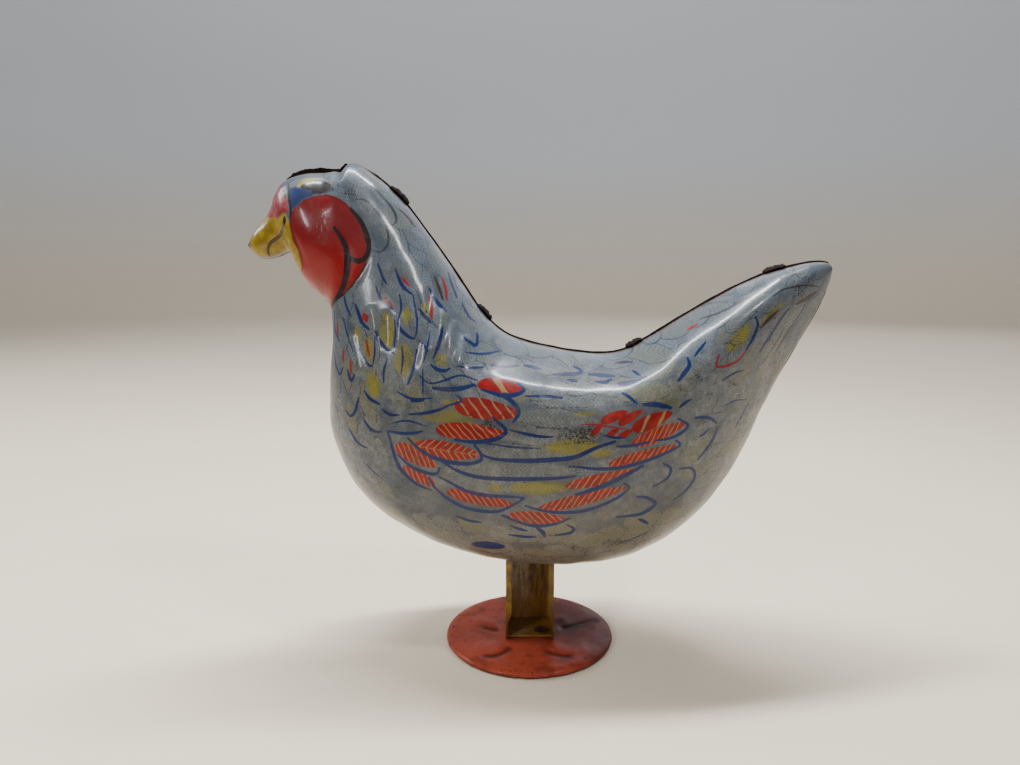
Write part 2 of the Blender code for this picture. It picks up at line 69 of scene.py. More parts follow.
# Body stations from beak to tail: top seam x, z; bottom seam x, z; half width; body and tail weight.
STATIONS = np.array([
    (-84.95, 121.0, -84.95, 121.0, 0.0, 0.0, 0.0),
    (-82.6, 125.2, -81.6, 117.6, 3.4, 0.0, 0.0),
    (-79.2, 128.8, -76.6, 117.6, 5.0, 0.0, 0.0),
    (-77.2, 132.2, -71.5, 119.2, 6.4, 0.0, 0.0),
    (-75.8, 135.8, -68.9, 114.0, 9.0, 0.0, 0.0),
    (-72.8, 139.2, -66.7, 109.4, 11.6, 0.0, 0.0),
    (-67.0, 141.3, -63.2, 106.0, 13.4, 0.0, 0.0),
    (-60.0, 141.6, -60.6, 103.4, 14.2, 0.0, 0.0),
    (-53.6, 144.2, -59.8, 99.6, 14.6, 0.0, 0.0),
    (-46.6, 140.2, -60.2, 93.0, 15.0, 0.05, 0.0),
    (-39.4, 133.6, -61.4, 84.6, 16.2, 0.15, 0.0),
    (-33.4, 125.8, -62.0, 76.0, 18.4, 0.3, 0.0),
    (-27.8, 118.0, -61.6, 67.2, 21.2, 0.5, 0.0),
    (-22.4, 109.8, -58.8, 58.6, 24.0, 0.7, 0.0),
    (-17.2, 102.2, -54.4, 50.4, 26.4, 0.85, 0.0),
    (-11.2, 96.4, -47.6, 43.4, 28.2, 1.0, 0.0),
    (-4.2, 93.4, -38.4, 37.2, 29.2, 1.0, 0.0),
    (3.4, 91.6, -27.4, 32.2, 29.7, 1.0, 0.0),
    (10.8, 90.3, -15.4, 28.8, 29.8, 1.0, 0.0),
    (18.0, 89.8, -2.4, 26.9, 29.5, 1.0, 0.0),
    (24.6, 90.8, 11.4, 26.6, 28.7, 0.95, 0.05),
    (31.2, 94.2, 25.0, 28.4, 27.2, 0.85, 0.15),
    (38.0, 98.4, 37.4, 33.6, 25.0, 0.7, 0.3),
    (45.2, 102.8, 48.0, 41.8, 22.2, 0.5, 0.5),
    (52.4, 106.9, 56.1, 52.0, 19.0, 0.3, 0.7),
    (59.6, 110.6, 62.0, 62.9, 15.4, 0.15, 0.85),
    (66.4, 113.4, 66.6, 74.0, 11.8, 0.0, 1.0),
    (72.6, 115.1, 71.6, 84.4, 8.6, 0.0, 1.0),
    (78.0, 116.2, 77.0, 94.4, 5.8, 0.0, 1.0),
    (82.0, 116.4, 81.6, 103.4, 3.6, 0.0, 1.0),
    (84.2, 115.6, 84.2, 110.0, 2.0, 0.0, 1.0),
    (84.95, 113.6, 84.95, 113.6, 0.0, 0.0, 1.0),
])

# Cross-section control points, top seam to bottom seam: share of the height, share of the half width.
SECTIONS = np.array([
    [(0, 0), (0, 0.34), (0.12, 0.78), (0.36, 1.04), (0.66, 1.04), (0.90, 0.78), (1, 0.34), (1, 0)],
    [(0, 0), (0, 0.28), (0.14, 0.78), (0.20, 0.96), (0.50, 1.04), (0.86, 0.88), (1, 0.40), (1, 0)],
    [(0, 0), (0, 0.46), (0.08, 0.90), (0.24, 1.08), (0.52, 0.78), (0.80, 0.44), (1, 0.20), (1, 0)],
])

# Artwork: each row is a half width, then the x and z of the points.

BLUE = [
    # neck feather tips
    (0.3, -44.6, 116, -43.2, 112.4, -42, 110.4), (0.26, -38.6, 108, -38, 104.6, -38.6, 101),
    (0.26, -48, 110.6, -47.2, 107), (0.28, -54.2, 107.6, -53.4, 104, -52, 101.6),
    (0.26, -57.6, 103, -57.6, 98, -56, 94.6), (0.26, -58.2, 92, -57.4, 88, -56, 85.6, -54.8, 88),
    (0.24, -26.4, 113.6, -25, 109.6, -23.6, 106.4), (0.24, -22.4, 105, -20.4, 101.4, -18.6, 99.8),
    (0.28, -41.6, 91, -42.6, 87.4, -42.6, 84.4), (0.22, -30.2, 98, -30.8, 94, -31.8, 90),
    (0.26, -33, 86.8, -30, 84.8, -26, 85.6, -22, 86.8, -17.4, 85.4),
    (0.24, -20.8, 92.4, -16, 91.6, -11.4, 92), (0.3, -39, 82.4, -34.6, 80.6, -29.4, 81),
    (0.26, -25.4, 79, -21.6, 80.4, -23.2, 82), (0.24, -41.4, 73.6, -36, 74.8, -30.4, 73.4),
    (0.38, -39.9, 114.6, -38.6, 111.4, -37.3, 109.4, -35.2, 107.8),
    (0.38, -45, 110, -44.2, 107.7, -42.8, 105.7, -40.2, 103.8),
    (0.42, -50.8, 105, -49.8, 102.3, -48.8, 100, -46.7, 98.4),
    (0.42, -44.9, 98, -43.9, 95.8, -42.2, 93.6, -39.8, 92.3), (0.22, -39.8, 101.2, -39.4, 98, -39.8, 93.3),
    (0.4, -38.9, 100.4, -37.6, 98.2, -35.6, 96.6, -34.3, 96.2),
    (0.24, -35, 107.7, -34.4, 104.5, -33.7, 101, -33.8, 97.8, -34.3, 96.2),
    (0.4, -30.9, 109.2, -29.3, 106.5, -27.7, 104.5, -26.1, 103.2),
    (0.38, -33.4, 104, -31.9, 102.2, -30, 100.3), (0.4, -50, 93.3, -48.8, 91, -47.2, 89.2, -45.7, 88.5),
    (0.22, -45.2, 96.4, -45.2, 92.5, -45.7, 89), (0.35, -33.2, 95.8, -31.9, 94.5, -30.6, 93.2),
    (0.4, -26.9, 99, -27.5, 95.9, -28.3, 93.3, -29.2, 91.2),
    (0.42, -29.8, 89.6, -28.4, 88.5, -26.2, 88, -24.8, 88.6),
    (0.38, -33.6, 93.5, -33.9, 90.3, -34.8, 87.4, -36, 84.3), (0.25, -37.6, 94.5, -37.4, 90.5, -37.8, 87),
    (0.38, -53.3, 87.3, -52.7, 85.2, -52, 84.5, -51, 86.2), (0.22, -54.6, 101, -53.1, 96.3, -51.4, 92.3),
    (0.35, -21.5, 96.3, -19.8, 94.8, -18, 94, -18, 97), (0.3, -22.7, 89.2, -20, 88.6, -16, 88.5),
    (0.55, -29.2, 83.6, -26.2, 83.3, -21.9, 83.5, -18.3, 84.4),
    # breast
    (0.4, -48.2, 82, -46.5, 80, -43.5, 78.6), (0.35, -43.3, 77.6, -41, 76.2, -38.2, 76.2),
    (0.38, -35.7, 76.5, -31.4, 77, -27.4, 78, -25, 79.2),
    (0.38, -48.5, 74, -47, 72.2, -45.5, 71.3, -43.4, 71.3),
    (0.38, -53.2, 71, -51.7, 68.6, -50, 67, -47.8, 66.4), (0.35, -54, 76, -52.6, 74.6, -51, 76.4, -50, 80),
    (0.3, -35.2, 80, -31.8, 80.2), (0.2, -32, 88.5, -31.8, 81.5), (0.18, -49.7, 62.5, -46, 59.5, -42.5, 57),
    # wing, front feathers
    (0.5, -16.2, 83.2, -11, 81.7, -7, 81.9, -5.2, 83, -7, 84.6),
    (0.5, -11.2, 81.6, -8.2, 80, -6.6, 77.3, -8.1, 75),
    (0.5, -13.5, 76.2, -10, 72.8, -12.5, 70.6, -18.2, 69.7, -23.4, 70.2),
    (0.5, -36, 70.2, -33.3, 67.6, -29.7, 65.5, -25.2, 64.2, -20, 63.8, -16.8, 64.7, -16.5, 66.5, -18.2,
     68.8), (0.45, -38.8, 65.3, -35.3, 62.4, -31.5, 61, -28.6, 60.7, -27.5, 62.5),
    (0.45, -41.7, 71.8, -40.8, 68.6, -39.8, 64.8, -38.5, 61.6, -36.3, 59.2, -33.2, 57, -30, 56),
    (0.4, -41.7, 71.8, -38, 71.4, -34.6, 71.6, -32, 72.2),
    (0.45, -27.6, 59.9, -24.4, 58.2, -20, 56, -14.8, 55, -9.5, 54.8, -5.2, 54.5),
    (0.45, -30.6, 59.4, -29.2, 57, -25.5, 53.6, -21.5, 51.4, -17, 50.4, -12, 50.4, -8, 52.4, -5.2, 54.3),
    # wing, long quills
    (0.5, -27, 64.4, -23.5, 62.2, -19, 60.5, -13.8, 59.9, -5, 59.8, 3.5, 60, 8.5, 60.5),
    (0.55, -16.6, 66.4, -13.8, 65.4, -9.9, 64.9, -2, 64.8, 4.8, 65.2, 8.7, 65.8, 13.6, 68, 18.8, 69.6),
    (0.35, -9, 73, -5.3, 72, -1, 71.2, 2.5, 71.1), (0.22, -16.5, 69.5, -8, 68.4, -1, 68),
    # wing, rear feathers
    (0.42, 36, 75, 38.2, 73.8, 39, 72.8, 37.2, 71, 33.5, 69.7, 30, 69.4), (0.6, 26.5, 79, 30, 79, 34, 78),
    (0.38, 21, 81.8, 23, 80.7, 24.7, 79.3), (0.4, 19.3, 68.2, 23.8, 68.4, 28.4, 69.2),
    (0.45, 35.6, 69, 37, 67.9, 36, 66.8, 32, 65.4, 27.6, 64, 22.6, 62.8, 18, 62.3, 13.6, 62.4, 9.8, 62.9,
     6.6, 63.2), (0.6, 8.6, 55.3, 12.2, 56.3, 16.8, 58, 20.3, 59.5, 23.4, 61, 26.6, 62.6),
    (0.45, -4.8, 52.2, -1.8, 51.2, 2.7, 50.3, 8.9, 50.2, 13.3, 51.1, 17.8, 52.8, 21, 54.6, 23, 56.6, 21.5,
     58), (0.45, -10.6, 49.2, -7.1, 47.4, -3.6, 46.3, 0, 46.1, 4, 46.9, 7.2, 48.4),
    (0.3, 15.7, 71.3, 19, 70.6, 22, 70.6),
    # back
    (0.3, -14, 88.8, -10.2, 88.2, -6.5, 88.4), (0.32, -5, 88.3, -0.3, 87.2),
    (0.38, 3, 85.9, 9.8, 85.8, 11, 86.4, 9, 87.4), (0.38, 12.8, 85.6, 20, 85.2),
    (0.34, 14.6, 84.1, 17, 83.9, 19, 84.6), (0.55, 20.7, 83.6, 24.6, 84, 28, 85.6),
    (0.3, 6.8, 84.7, 9.5, 84.2), (0.32, 25, 86.7, 26.6, 85.8), (0.5, 39, 90.8, 39.3, 89, 37.8, 87, 36, 85),
    (0.3, -4.8, 81.4, 0.8, 81.3, 5, 80.7),
    # behind and under the wing
    (0.5, 25.5, 53.7, 28, 53.2, 30.4, 51.7, 31, 50.5, 29, 49, 26, 48, 20, 48),
    (0.45, 26.5, 46.5, 28.2, 45.5, 29.5, 44.4),
    (0.4, 32.4, 62.8, 34.6, 61.2, 34.4, 59, 32.6, 57.4, 30, 56.3),
    (0.4, 37.6, 60.5, 41, 60.2, 42.6, 58, 42, 55.5, 39.6, 52.8, 36.6, 51),
    (0.42, 41, 74.8, 43.7, 74.8, 46.2, 74, 48, 72.5), (0.35, 42.6, 69.2, 44.3, 70, 45.6, 71.3),
    (0.38, 48.3, 71.2, 47.6, 68.6, 45.7, 65.5, 43, 62.5), (0.38, 36.3, 78, 38, 79.3, 39.6, 80),
    (0.2, 49.6, 77, 53.6, 78.4, 58, 78), (0.25, 58.6, 76.6, 57, 73.6, 55, 70),
    (0.2, 20.5, 38, 25.6, 39.7, 30.8, 41.6), (0.38, -23.3, 48.4, -20.2, 47.2, -16.6, 46.7),
    (0.38, -11.2, 49.2, -8, 47.9), (0.38, -8.7, 46, -6.5, 45, -4.2, 44.4),
    (0.36, -9.3, 43, -5, 42.4, -1.6, 42.4), (0.5, -1.6, 45.3, 0, 44, 0.5, 42.5),
    (0.38, 6.4, 46.4, 8.4, 45, 7.3, 43.6, 3.4, 42.9),
    # tail
    (0.42, 55.6, 92.8, 57.8, 96, 59, 99.4, 58.2, 101.6),
    (0.42, 69.5, 103.6, 67, 100.6, 64.5, 97.2, 62.2, 94.2, 60.5, 91.8),
    (0.3, 40.8, 91.2, 42.4, 93, 44.2, 95), (0.26, 62, 88, 66, 93, 69, 98),
    (0.24, 48.6, 84.6, 52, 86.4, 55.6, 87), (0.22, 70, 96, 74, 101.4, 77, 106.4),
]

GREY = [
    (0.3, -51.5, 133, -48.3, 133, -45.3, 130, -43, 127, -42, 123.5, -42.2, 120.8, -44, 119, -46.3, 119.6),
    (0.3, -50.5, 139, -47.3, 137.2, -44, 134, -41.3, 130.7, -40.2, 128, -40.8, 126.5, -42.3, 126.2),
    (0.4, 71.6, 98.4, 69.6, 95, 67.6, 91.8), (0.24, 80, 109.3, 74, 109.8, 67.5, 108.8, 64, 107),
    (0.2, 44.5, 100.5, 49.5, 102.5, 55.5, 105.6, 60.6, 108), (0.25, 21, 88, 25.5, 88.6),
    (0.25, -73.5, 138.2, -71.4, 136, -70.4, 133.4),
]

BROWN = [
    (0.42, -70.7, 128, -71, 126.4, -72.4, 124.6, -74.6, 123.1, -77, 121.4, -78, 119, -78, 116.6),
    (0.22, -40, 131, -37.6, 128.8, -35.5, 126), (0.28, -29.7, 112.5, -28.4, 109.3, -27.2, 106),
    (0.5, 79, 107.8, 75.5, 106, 72, 104.6), (0.45, 60, 98.6, 62.6, 100.8, 65.6, 103),
]

RED = [
    (0.3, -38.5, 112.4, -37, 111, -35.8, 109.8), (0.55, -42.8, 106.9, -41.5, 105.4, -40.3, 104.1),
    (0.9, -48.3, 102.4, -47.7, 100.8), (0.22, 9.8, 74.2, 14, 74, 18, 73.4, 22.6, 72.6),
    (0.3, -54.6, 93, -54.8, 89), (0.25, -56.6, 100, -56.4, 96), (0.18, 66.2, 62, 64, 58.5),
    (0.18, 40.5, 97.5, 43.6, 99.4), (0.3, -27.8, 112, -26.7, 109, -26.2, 105.8),
    (0.4, -30.9, 107.2, -30.2, 104.8, -29.9, 101.2), (0.3, -47.8, 95.8, -46.7, 91.3),
    (0.35, -52.4, 90.2, -52.2, 86), (0.32, 47.4, 91.8, 46.6, 88.7, 50, 88.7, 53.6, 90.2, 56.2, 93.4),
]

YELLOW = [
    (1.7, -42, 102, -41.6, 98, -41.8, 94), (1.3, -47.2, 95.6, -46.8, 91),
    (2.0, -37.2, 93.5, -37.2, 90, -37.2, 87.6), (1.2, -32, 105, -31.6, 102),
    (1.2, -27.6, 91.6, -26.4, 89.8), (1.6, -45.8, 86, -45.2, 81.6), (1.0, -50.6, 98.5, -49.8, 95),
    (1.1, -36.6, 104, -36.2, 100.6), (1.4, -30.5, 76, -25, 76.2, -19, 75.2), (0.9, -26, 79.8, -22, 79.2),
    (1.1, -37, 68.8, -33, 69.4), (1.5, -8, 57.4, -1, 57.2, 6, 57.6), (0.9, 13.2, 66.2, 17.6, 66.6),
    (1.5, 1.6, 68.2, 8, 68.4, 13.4, 68.8), (0.6, 8.4, 76.8, 13.6, 76.8),
    (0.5, 31, 80.2, 33.6, 79.5, 36.2, 79), (1.5, 50.4, 93.2, 53.6, 96, 56, 98.8),
    (0.6, 60, 99.8, 63.3, 102.6, 66.8, 104.4), (0.75, -67.0, 137.2, -64.8, 138.3, -61.8, 138.5),
    (0.8, 19, 60.6, 23.5, 62), (0.7, -14.5, 57.3, -11, 57),
]

BLACK = [
    (0.74, -56.4, 125.6, -54.4, 122.6, -53.2, 119.7, -53, 116.7, -53.3, 113.4, -54.3, 110, -56.2, 107,
     -58.4, 104.6), (0.6, -52.0, 130.6, -49.2, 127, -47.8, 123.6, -47.1, 121, -47.4, 118.2, -48.8, 116.4),
    (0.6, -47.2, 119.4, -48.4, 117.2, -50.2, 116.6, -52, 117.4, -53.4, 118.8),
    (0.22, -47.6, 116.4, -49.3, 113, -51.5, 110.3, -54, 107.9, -57, 105.6),
    (0.4, -70.6, 128.6, -70.7, 126.6), (0.34, -70.2, 137.6, -69.4, 134, -68.6, 130.4, -68.9, 128),
    (1.3, -65.5, 136.8, -62.5, 137.2, -58.4, 136.8), (0.7, -62.6, 135.3, -58.6, 135.9),
]

# Red wing feathers: root, tip, half width, barb slant (0 is both ways), barb pitch
FEATHERS = [
    ((-17.4, 84.6), (-5.0, 82.8), 2.0, 1.0, 9.0),
    ((-23.5, 79.4), (-6.6, 76.9), 2.7, 1.0, 3.2),
    ((-28.5, 72.9), (-10.0, 72.0), 2.2, 1.0, 1.9),
    ((-34.4, 68.2), (-16.8, 66.2), 2.5, 0.0, 1.9),
    ((-39.6, 68.0), (-28.2, 62.8), 2.3, 1.0, 1.8),
    ((-37.8, 62.0), (-28.6, 57.2), 1.9, 1.0, 1.8),
    ((-25.8, 55.8), (-7.6, 52.2), 1.9, 1.0, 1.75),
    ((15.0, 74.6), (22.2, 77.4), 1.25, 1.0, 40.0),
    ((19.6, 74.0), (26.2, 77.6), 1.15, 1.0, 40.0),
    ((23.4, 72.6), (34.4, 76.8), 2.0, -1.0, 5.2),
    ((12.4, 71.2), (15.4, 74.2), 0.9, 1.0, 40.0),
    ((16.6, 70.9), (19.8, 72.9), 0.85, 1.0, 40.0),
    ((19.6, 70.6), (23.6, 72.6), 0.8, 1.0, 40.0),
    ((23.4, 68.6), (38.4, 73.8), 2.0, -1.0, 1.75),
    ((17.2, 63.4), (36.2, 67.6), 1.55, -1.0, 1.8),
    ((5.6, 57.6), (25.4, 61.6), 1.6, -1.0, 2.2),
    ((-1.2, 51.2), (22.4, 56.8), 1.8, -1.0, 1.8),
    ((-9.8, 48.8), (6.4, 48.0), 2.0, 1.0, 1.9),
]

# Heading of the small drawn feathers over the body: x, z, degrees
FLOW = [
    (-52, 108, -82), (-40, 118, -66), (-46, 92, -84), (-30, 100, -70), (-52, 74, -84), (-38, 84, -60),
    (-22, 92, -30), (-44, 58, -52), (-20, 40, -14), (0, 87, -4), (20, 86, 4), (42, 92, 30), (60, 100, 42),
    (74, 108, 48), (66, 90, 52), (50, 76, 34), (40, 56, 22), (20, 38, 6), (0, 40, 0), (-40, 134, -40),
]
# Long quills drawn with fine barbs: root, tip, half width
QUILLS = [
    ((-27, 62), (9, 62.2), 2.4), ((-18, 66.8), (20, 67.6), 2.6), ((-12, 71.2), (14, 71), 2.4),
    ((-8, 76.4), (14, 75.2), 2.6), ((-4, 80), (24, 80), 1.8), ((-28, 58.4), (6, 57), 1.9),
    ((8, 61.8), (30, 65.4), 1.6), ((44, 98), (68, 109), 2.4), ((46.8, 88.8), (59, 101.4), 3.6),
    ((59, 91), (70, 104.5), 2.6), ((50, 84), (62, 90), 2.0), ((44, 88), (50, 96), 2.2),
]

BEAK = [(-90, 133), (-78, 128.9), (-73, 128.4), (-71.5, 129.5), (-70.2, 129.7), (-69.1, 126.5),
        (-68.9, 124.5), (-68.3, 122), (-67.0, 119.5), (-66.6, 117), (-66.4, 115), (-68, 112), (-90, 108)]
FACE = [(-69.2, 126.5), (-68.9, 129), (-67.6, 130.7), (-65, 133), (-62, 134.2), (-59, 134.5),
        (-56.5, 134), (-53.4, 132.3), (-50.8, 129.4), (-48.8, 126.5), (-47.3, 123.8), (-46.6, 121),
        (-46.7, 119), (-47.7, 116), (-49.3, 113), (-51.5, 110.4), (-54, 108), (-56.5, 106),
        (-58.5, 103.5), (-62, 104), (-66, 109), (-68, 113), (-66.6, 115.2), (-66.6, 117), (-67, 119.5),
        (-68.3, 122)]
FOREHEAD = [(-79, 128.8), (-73, 128.5), (-71.5, 129.6), (-69.2, 129.8), (-69.6, 132.4), (-70.4, 134.4),
            (-72, 134.4), (-72.6, 137.6), (-72.8, 140), (-77, 139.6), (-81, 132)]
EYE = [(-70.2, 137.8), (-69, 132.5), (-68.4, 130.3), (-67.4, 130.9), (-65, 133.2), (-62, 134.4),
       (-59, 134.8), (-56.6, 135.6), (-57.6, 138), (-60.5, 139.2), (-65, 139.4), (-68, 139.2)]
OVAL = (-15.0, 38.6, 4.7, 1.5)  # x, z, half width and half height

# Pressed relief: height out of the sheet, width, then the x and z of the points
RELIEF = [
    (0.50, 1.3, -46.5, 105, -45.6, 101, -45, 97), (0.55, 1.5, -52.4, 98, -51, 92.5, -48.7, 86),
    (0.45, 1.2, -38, 103, -38.2, 99, -38.6, 94), (0.60, 1.5, -27, 104, -27.8, 98.5, -29, 92),
    (0.50, 1.3, -24.3, 101, -25, 95, -26, 89), (0.40, 1.3, -21, 97, -22, 92.5, -23, 88.5),
    (-0.40, 1.4, -42, 104, -41.8, 99, -41.6, 93),
    (-0.45, 1.4, -34.4, 108, -33.4, 102, -33.4, 95, -34.6, 88),
    (-0.35, 1.2, -30.6, 110, -30.6, 103, -31.2, 95), (0.75, 2.7, -16, 85.8, -8, 84.4, 0, 83, 7, 82, 15,
     81.8, 22.5, 82.7, 27.5, 84.8, 32, 87.3, 36.6, 91, 40.4, 94, 46.7, 97.8, 53.3, 101.3, 58.5, 104.8, 63.5,
     107.8, 68.6, 110), (-0.30, 0.6, -71, 126.3, -72, 124.3, -74, 122.3, -76, 120.7, -77, 118.6),
    (-0.30, 1.0, -73, 128.6, -70.2, 129.4, -69, 126.5, -68.6, 124, -66.6, 119.6, -65, 114.6),
    (-0.22, 1.2, -56, 125, -54.3, 122.4, -53.2, 119.7, -53, 116.7, -53.3, 113.4, -55, 109),
    (-0.25, 1.1, -50.8, 129.4, -48.8, 126.5, -47, 122, -47.7, 116, -51.5, 110.4, -56.5, 106.5),
    (-0.3, 1.5, -41.7, 71.8, -39.8, 64.8, -36.3, 59.2, -30, 56),
]

# Worn places: x, z, half width along x and z, strength
WEAR = [
    (9.5, 71.5, 6.0, 2.6, 1.0), (-14.2, 74.5, 3.2, 1.6, 0.9), (12.0, 37.0, 1.6, 1.2, 1.0),
    (8.5, 38.5, 1.2, 1.0, 0.9), (41.5, 85.4, 1.5, 1.5, 0.7), (52.0, 83.0, 2.0, 1.6, 0.6),
    (36.5, 82.8, 1.4, 1.2, 0.6), (-60.0, 127.0, 1.6, 5.0, 0.5), (66.0, 95.0, 9.0, 11.0, 0.45),
    (58.0, 70.0, 7.0, 12.0, 0.4), (30.0, 38.0, 14.0, 5.0, 0.45), (-8.0, 33.0, 20.0, 4.0, 0.5),
    (74.0, 108.0, 6.0, 5.0, 0.6), (-38.0, 56.0, 7.0, 5.0, 0.35), (-72.0, 137.0, 2.0, 2.0, 0.8),
    (-52.6, 134.8, 2.2, 1.6, 0.85), (-60.0, 136.8, 5.0, 1.6, 0.5),
]


def smooth_line(places):
    """Catmull-Rom through points given as one run of numbers, resampled to short segments."""
    p = np.array(places, float).reshape(-1, 2)
    if len(p) < 3:
        return p
    padded = np.vstack([2 * p[0] - p[1], p, 2 * p[-1] - p[-2]])
    made = []
    for i in range(1, len(padded) - 2):
        a, b, c, d = padded[i - 1 : i + 3]
        count = max(2, int(np.linalg.norm(c - b) / LINE_STEP) + 1)
        s = np.linspace(0, 1, count, endpoint=False)[:, None]
        made.append(0.5 * (2 * b + (c - a) * s + (2 * a - 5 * b + 4 * c - d) * s**2
                           + (3 * b - a - 3 * c + d) * s**3))
    made.append(p[-1:])
    return np.vstack(made)


def line_distance(x, z, places, reach):
    """Indices of nearby points, their distance to the line and their place 0 to 1 along it."""
    line = smooth_line(places)
    low, high = line.min(0) - reach, line.max(0) + reach
    near = np.nonzero((x > low[0]) & (x < high[0]) & (z > low[1]) & (z < high[1]))[0]
    a, b = line[:-1], line[1:]
    run = b - a
    length = np.maximum(np.linalg.norm(run, axis=1), 1e-6)
    start = np.concatenate([[0], np.cumsum(length)])
    px = x[near, None] - a[None, :, 0]
    pz = z[near, None] - a[None, :, 1]
    share = np.clip((px * run[:, 0] + pz * run[:, 1]) / length**2, 0, 1)
    gap = np.hypot(px - share * run[:, 0], pz - share * run[:, 1])
    best = gap.argmin(1) if len(near) else np.zeros(0, int)
    row = np.arange(len(near))
    along = (start[best] + share[row, best] * length[best]) / start[-1]
    return near, gap[row, best], along


def stroke_field(x, z, strokes, limit=INK_REACH, taper=0.5, bold=1.2):
    """Signed distance to the nearest stroke; strokes thin out toward their ends."""
    field = np.full(x.shape, limit)
    for half, *places in strokes:
        near, gap, along = line_distance(x, z, places, half + limit)
        width = bold * half * (1 - taper + taper * np.sin(np.pi * np.clip(along, 0, 1)))
        field[near] = np.minimum(field[near], gap - width)
    return field


def patch_field(x, z, outline):
    """Signed distance to a closed outline, negative inside."""
    closed = np.array(outline + outline[:1], float)
    field = np.full(x.shape, INK_REACH)
    low, high = closed.min(0) - INK_REACH, closed.max(0) + INK_REACH
    near = np.nonzero((x > low[0]) & (x < high[0]) & (z > low[1]) & (z < high[1]))[0]
    px, pz = x[near], z[near]
    best = np.full(len(near), 1e9)
    inside = np.zeros(len(near), bool)
    for (ax, az), (bx, bz) in zip(closed[:-1], closed[1:]):
        rx, rz = bx - ax, bz - az
        share = np.clip(((px - ax) * rx + (pz - az) * rz) / (rx * rx + rz * rz), 0, 1)
        best = np.minimum(best, np.hypot(px - ax - share * rx, pz - az - share * rz))
        if az != bz:
            inside ^= ((az > pz) != (bz > pz)) & (px < ax + rx * (pz - az) / rz)
    field[near] = np.clip(np.where(inside, -best, best), -INK_REACH, INK_REACH)
    return field


def leaf(x, z, root, tip, half, round_tip=0.55, widest=0.75):
    """Distance to a leaf outline, with the place along and across it; negative distance is inside."""
    (ax, az), (bx, bz) = root, tip
    length = math.hypot(bx - ax, bz - az)
    ux, uz = (bx - ax) / length, (bz - az) / length
    along = (x - ax) * ux + (z - az) * uz
    across = -(x - ax) * uz + (z - az) * ux
    s = np.clip(along / length, 0, 1)
    width = half * np.sin(np.pi * s**widest) ** round_tip
    return np.maximum(np.abs(across) - width, np.maximum(-along, along - length)), along, across


def feather_fields(x, z):
    """Distance to the nearest red feather, its barb count along the quill, distance to the quill."""
    field = np.full(x.shape, INK_REACH)
    barb = np.full(x.shape, 0.5)
    quill = np.full(x.shape, INK_REACH)
    for root, tip, half, slant, pitch in FEATHERS:
        d, along, across = leaf(x, z, root, tip, half)
        take = d < field
        field[take] = d[take]
        lean = slant * across if slant else -0.9 * np.abs(across)
        barb[take] = ((along + lean + 0.12 * np.sin(1.9 * along)) / pitch + 0.3)[take]
        quill[take] = INK_REACH if slant else np.abs(across)[take]
    return field, barb, quill


def heading(px, pz):
    """Direction of the drawn feathers at a place, from the nearest entries of FLOW."""
    near = [1.0 / ((px - x) ** 2 + (pz - z) ** 2 + 20.0) ** 2 for x, z, _ in FLOW]
    return math.radians(sum(w * row[2] for w, row in zip(near, FLOW)) / sum(near))


def plumage(x, z):
    """Small drawn feathers in overlapping rows: distance in from the outline, barbs, tone."""
    random = np.random.default_rng(11)
    rim = np.full(x.shape, -INK_REACH)
    barb = np.zeros(x.shape)
    tone = np.full(x.shape, 0.5)
    made = []
    for row, pz in enumerate(np.arange(28, 140, 4.6)):
        for px in np.arange(-64 + 3.1 * (row % 2), 86, 6.2):
            cx = px + random.uniform(-1.4, 1.4)
            cz = pz + random.uniform(-1.2, 1.2)
            length = random.uniform(8.0, 12.5)
            half = random.uniform(1.9, 2.9)
            if -43 < cx < 41 and 46 < cz < 82:
                continue
            turn = heading(cx, cz) + random.uniform(-0.22, 0.22)
            dx, dz = math.cos(turn) * length / 2, math.sin(turn) * length / 2
            made.append((cx - 0.8 * cz, (cx - dx, cz - dz), (cx + dx, cz + dz), half, random.random()))
    made.sort(reverse=True)
    made = [(0, root, tip, half, 0.62) for root, tip, half in QUILLS] + made
    for _, root, tip, half, shade in made:
        low_x, high_x = min(root[0], tip[0]) - 3, max(root[0], tip[0]) + 3
        low_z, high_z = min(root[1], tip[1]) - 3, max(root[1], tip[1]) + 3
        near = np.nonzero((x > low_x) & (x < high_x) & (z > low_z) & (z < high_z))[0]
        d, along, across = leaf(x[near], z[near], root, tip, half, 0.6, 0.85)
        inside = d < 0
        hit = near[inside]
        rim[hit] = d[inside]
        barb[hit] = (along[inside] - 1.1 * np.abs(across[inside])) / 1.15
        tone[hit] = shade
    return rim, barb, tone


def relief_height(x, z):
    """Height of the pressed lines and of the shallow dents of handling."""
    total = np.zeros(x.shape)
    for height, width, *places in RELIEF:
        near, gap, along = line_distance(x, z, places, 3 * width)
        fade = np.clip(np.minimum(along, 1 - along) * 6, 0, 1) ** 0.7
        total[near] += height * np.exp(-((gap / width) ** 2)) * fade
    dents = 0.05 * np.sin(0.31 * x + 0.9) * np.sin(0.27 * z + 0.4)
    dents += 0.035 * np.sin(0.57 * x + 0.35 * z) + 0.03 * np.sin(0.44 * z - 0.73 * x + 1.3)
    return total + dents - 0.1


def wear_amount(x, z):
    """How worn the print is, from soft ellipses: x, z, half widths, strength."""
    total = np.zeros(x.shape)
    for cx, cz, rx, rz, strength in WEAR:
        total = np.maximum(total, strength * np.exp(-(((x - cx) / rx) ** 2) - ((z - cz) / rz) ** 2))
    return total


# ------------------------------------------------------------------ body surface


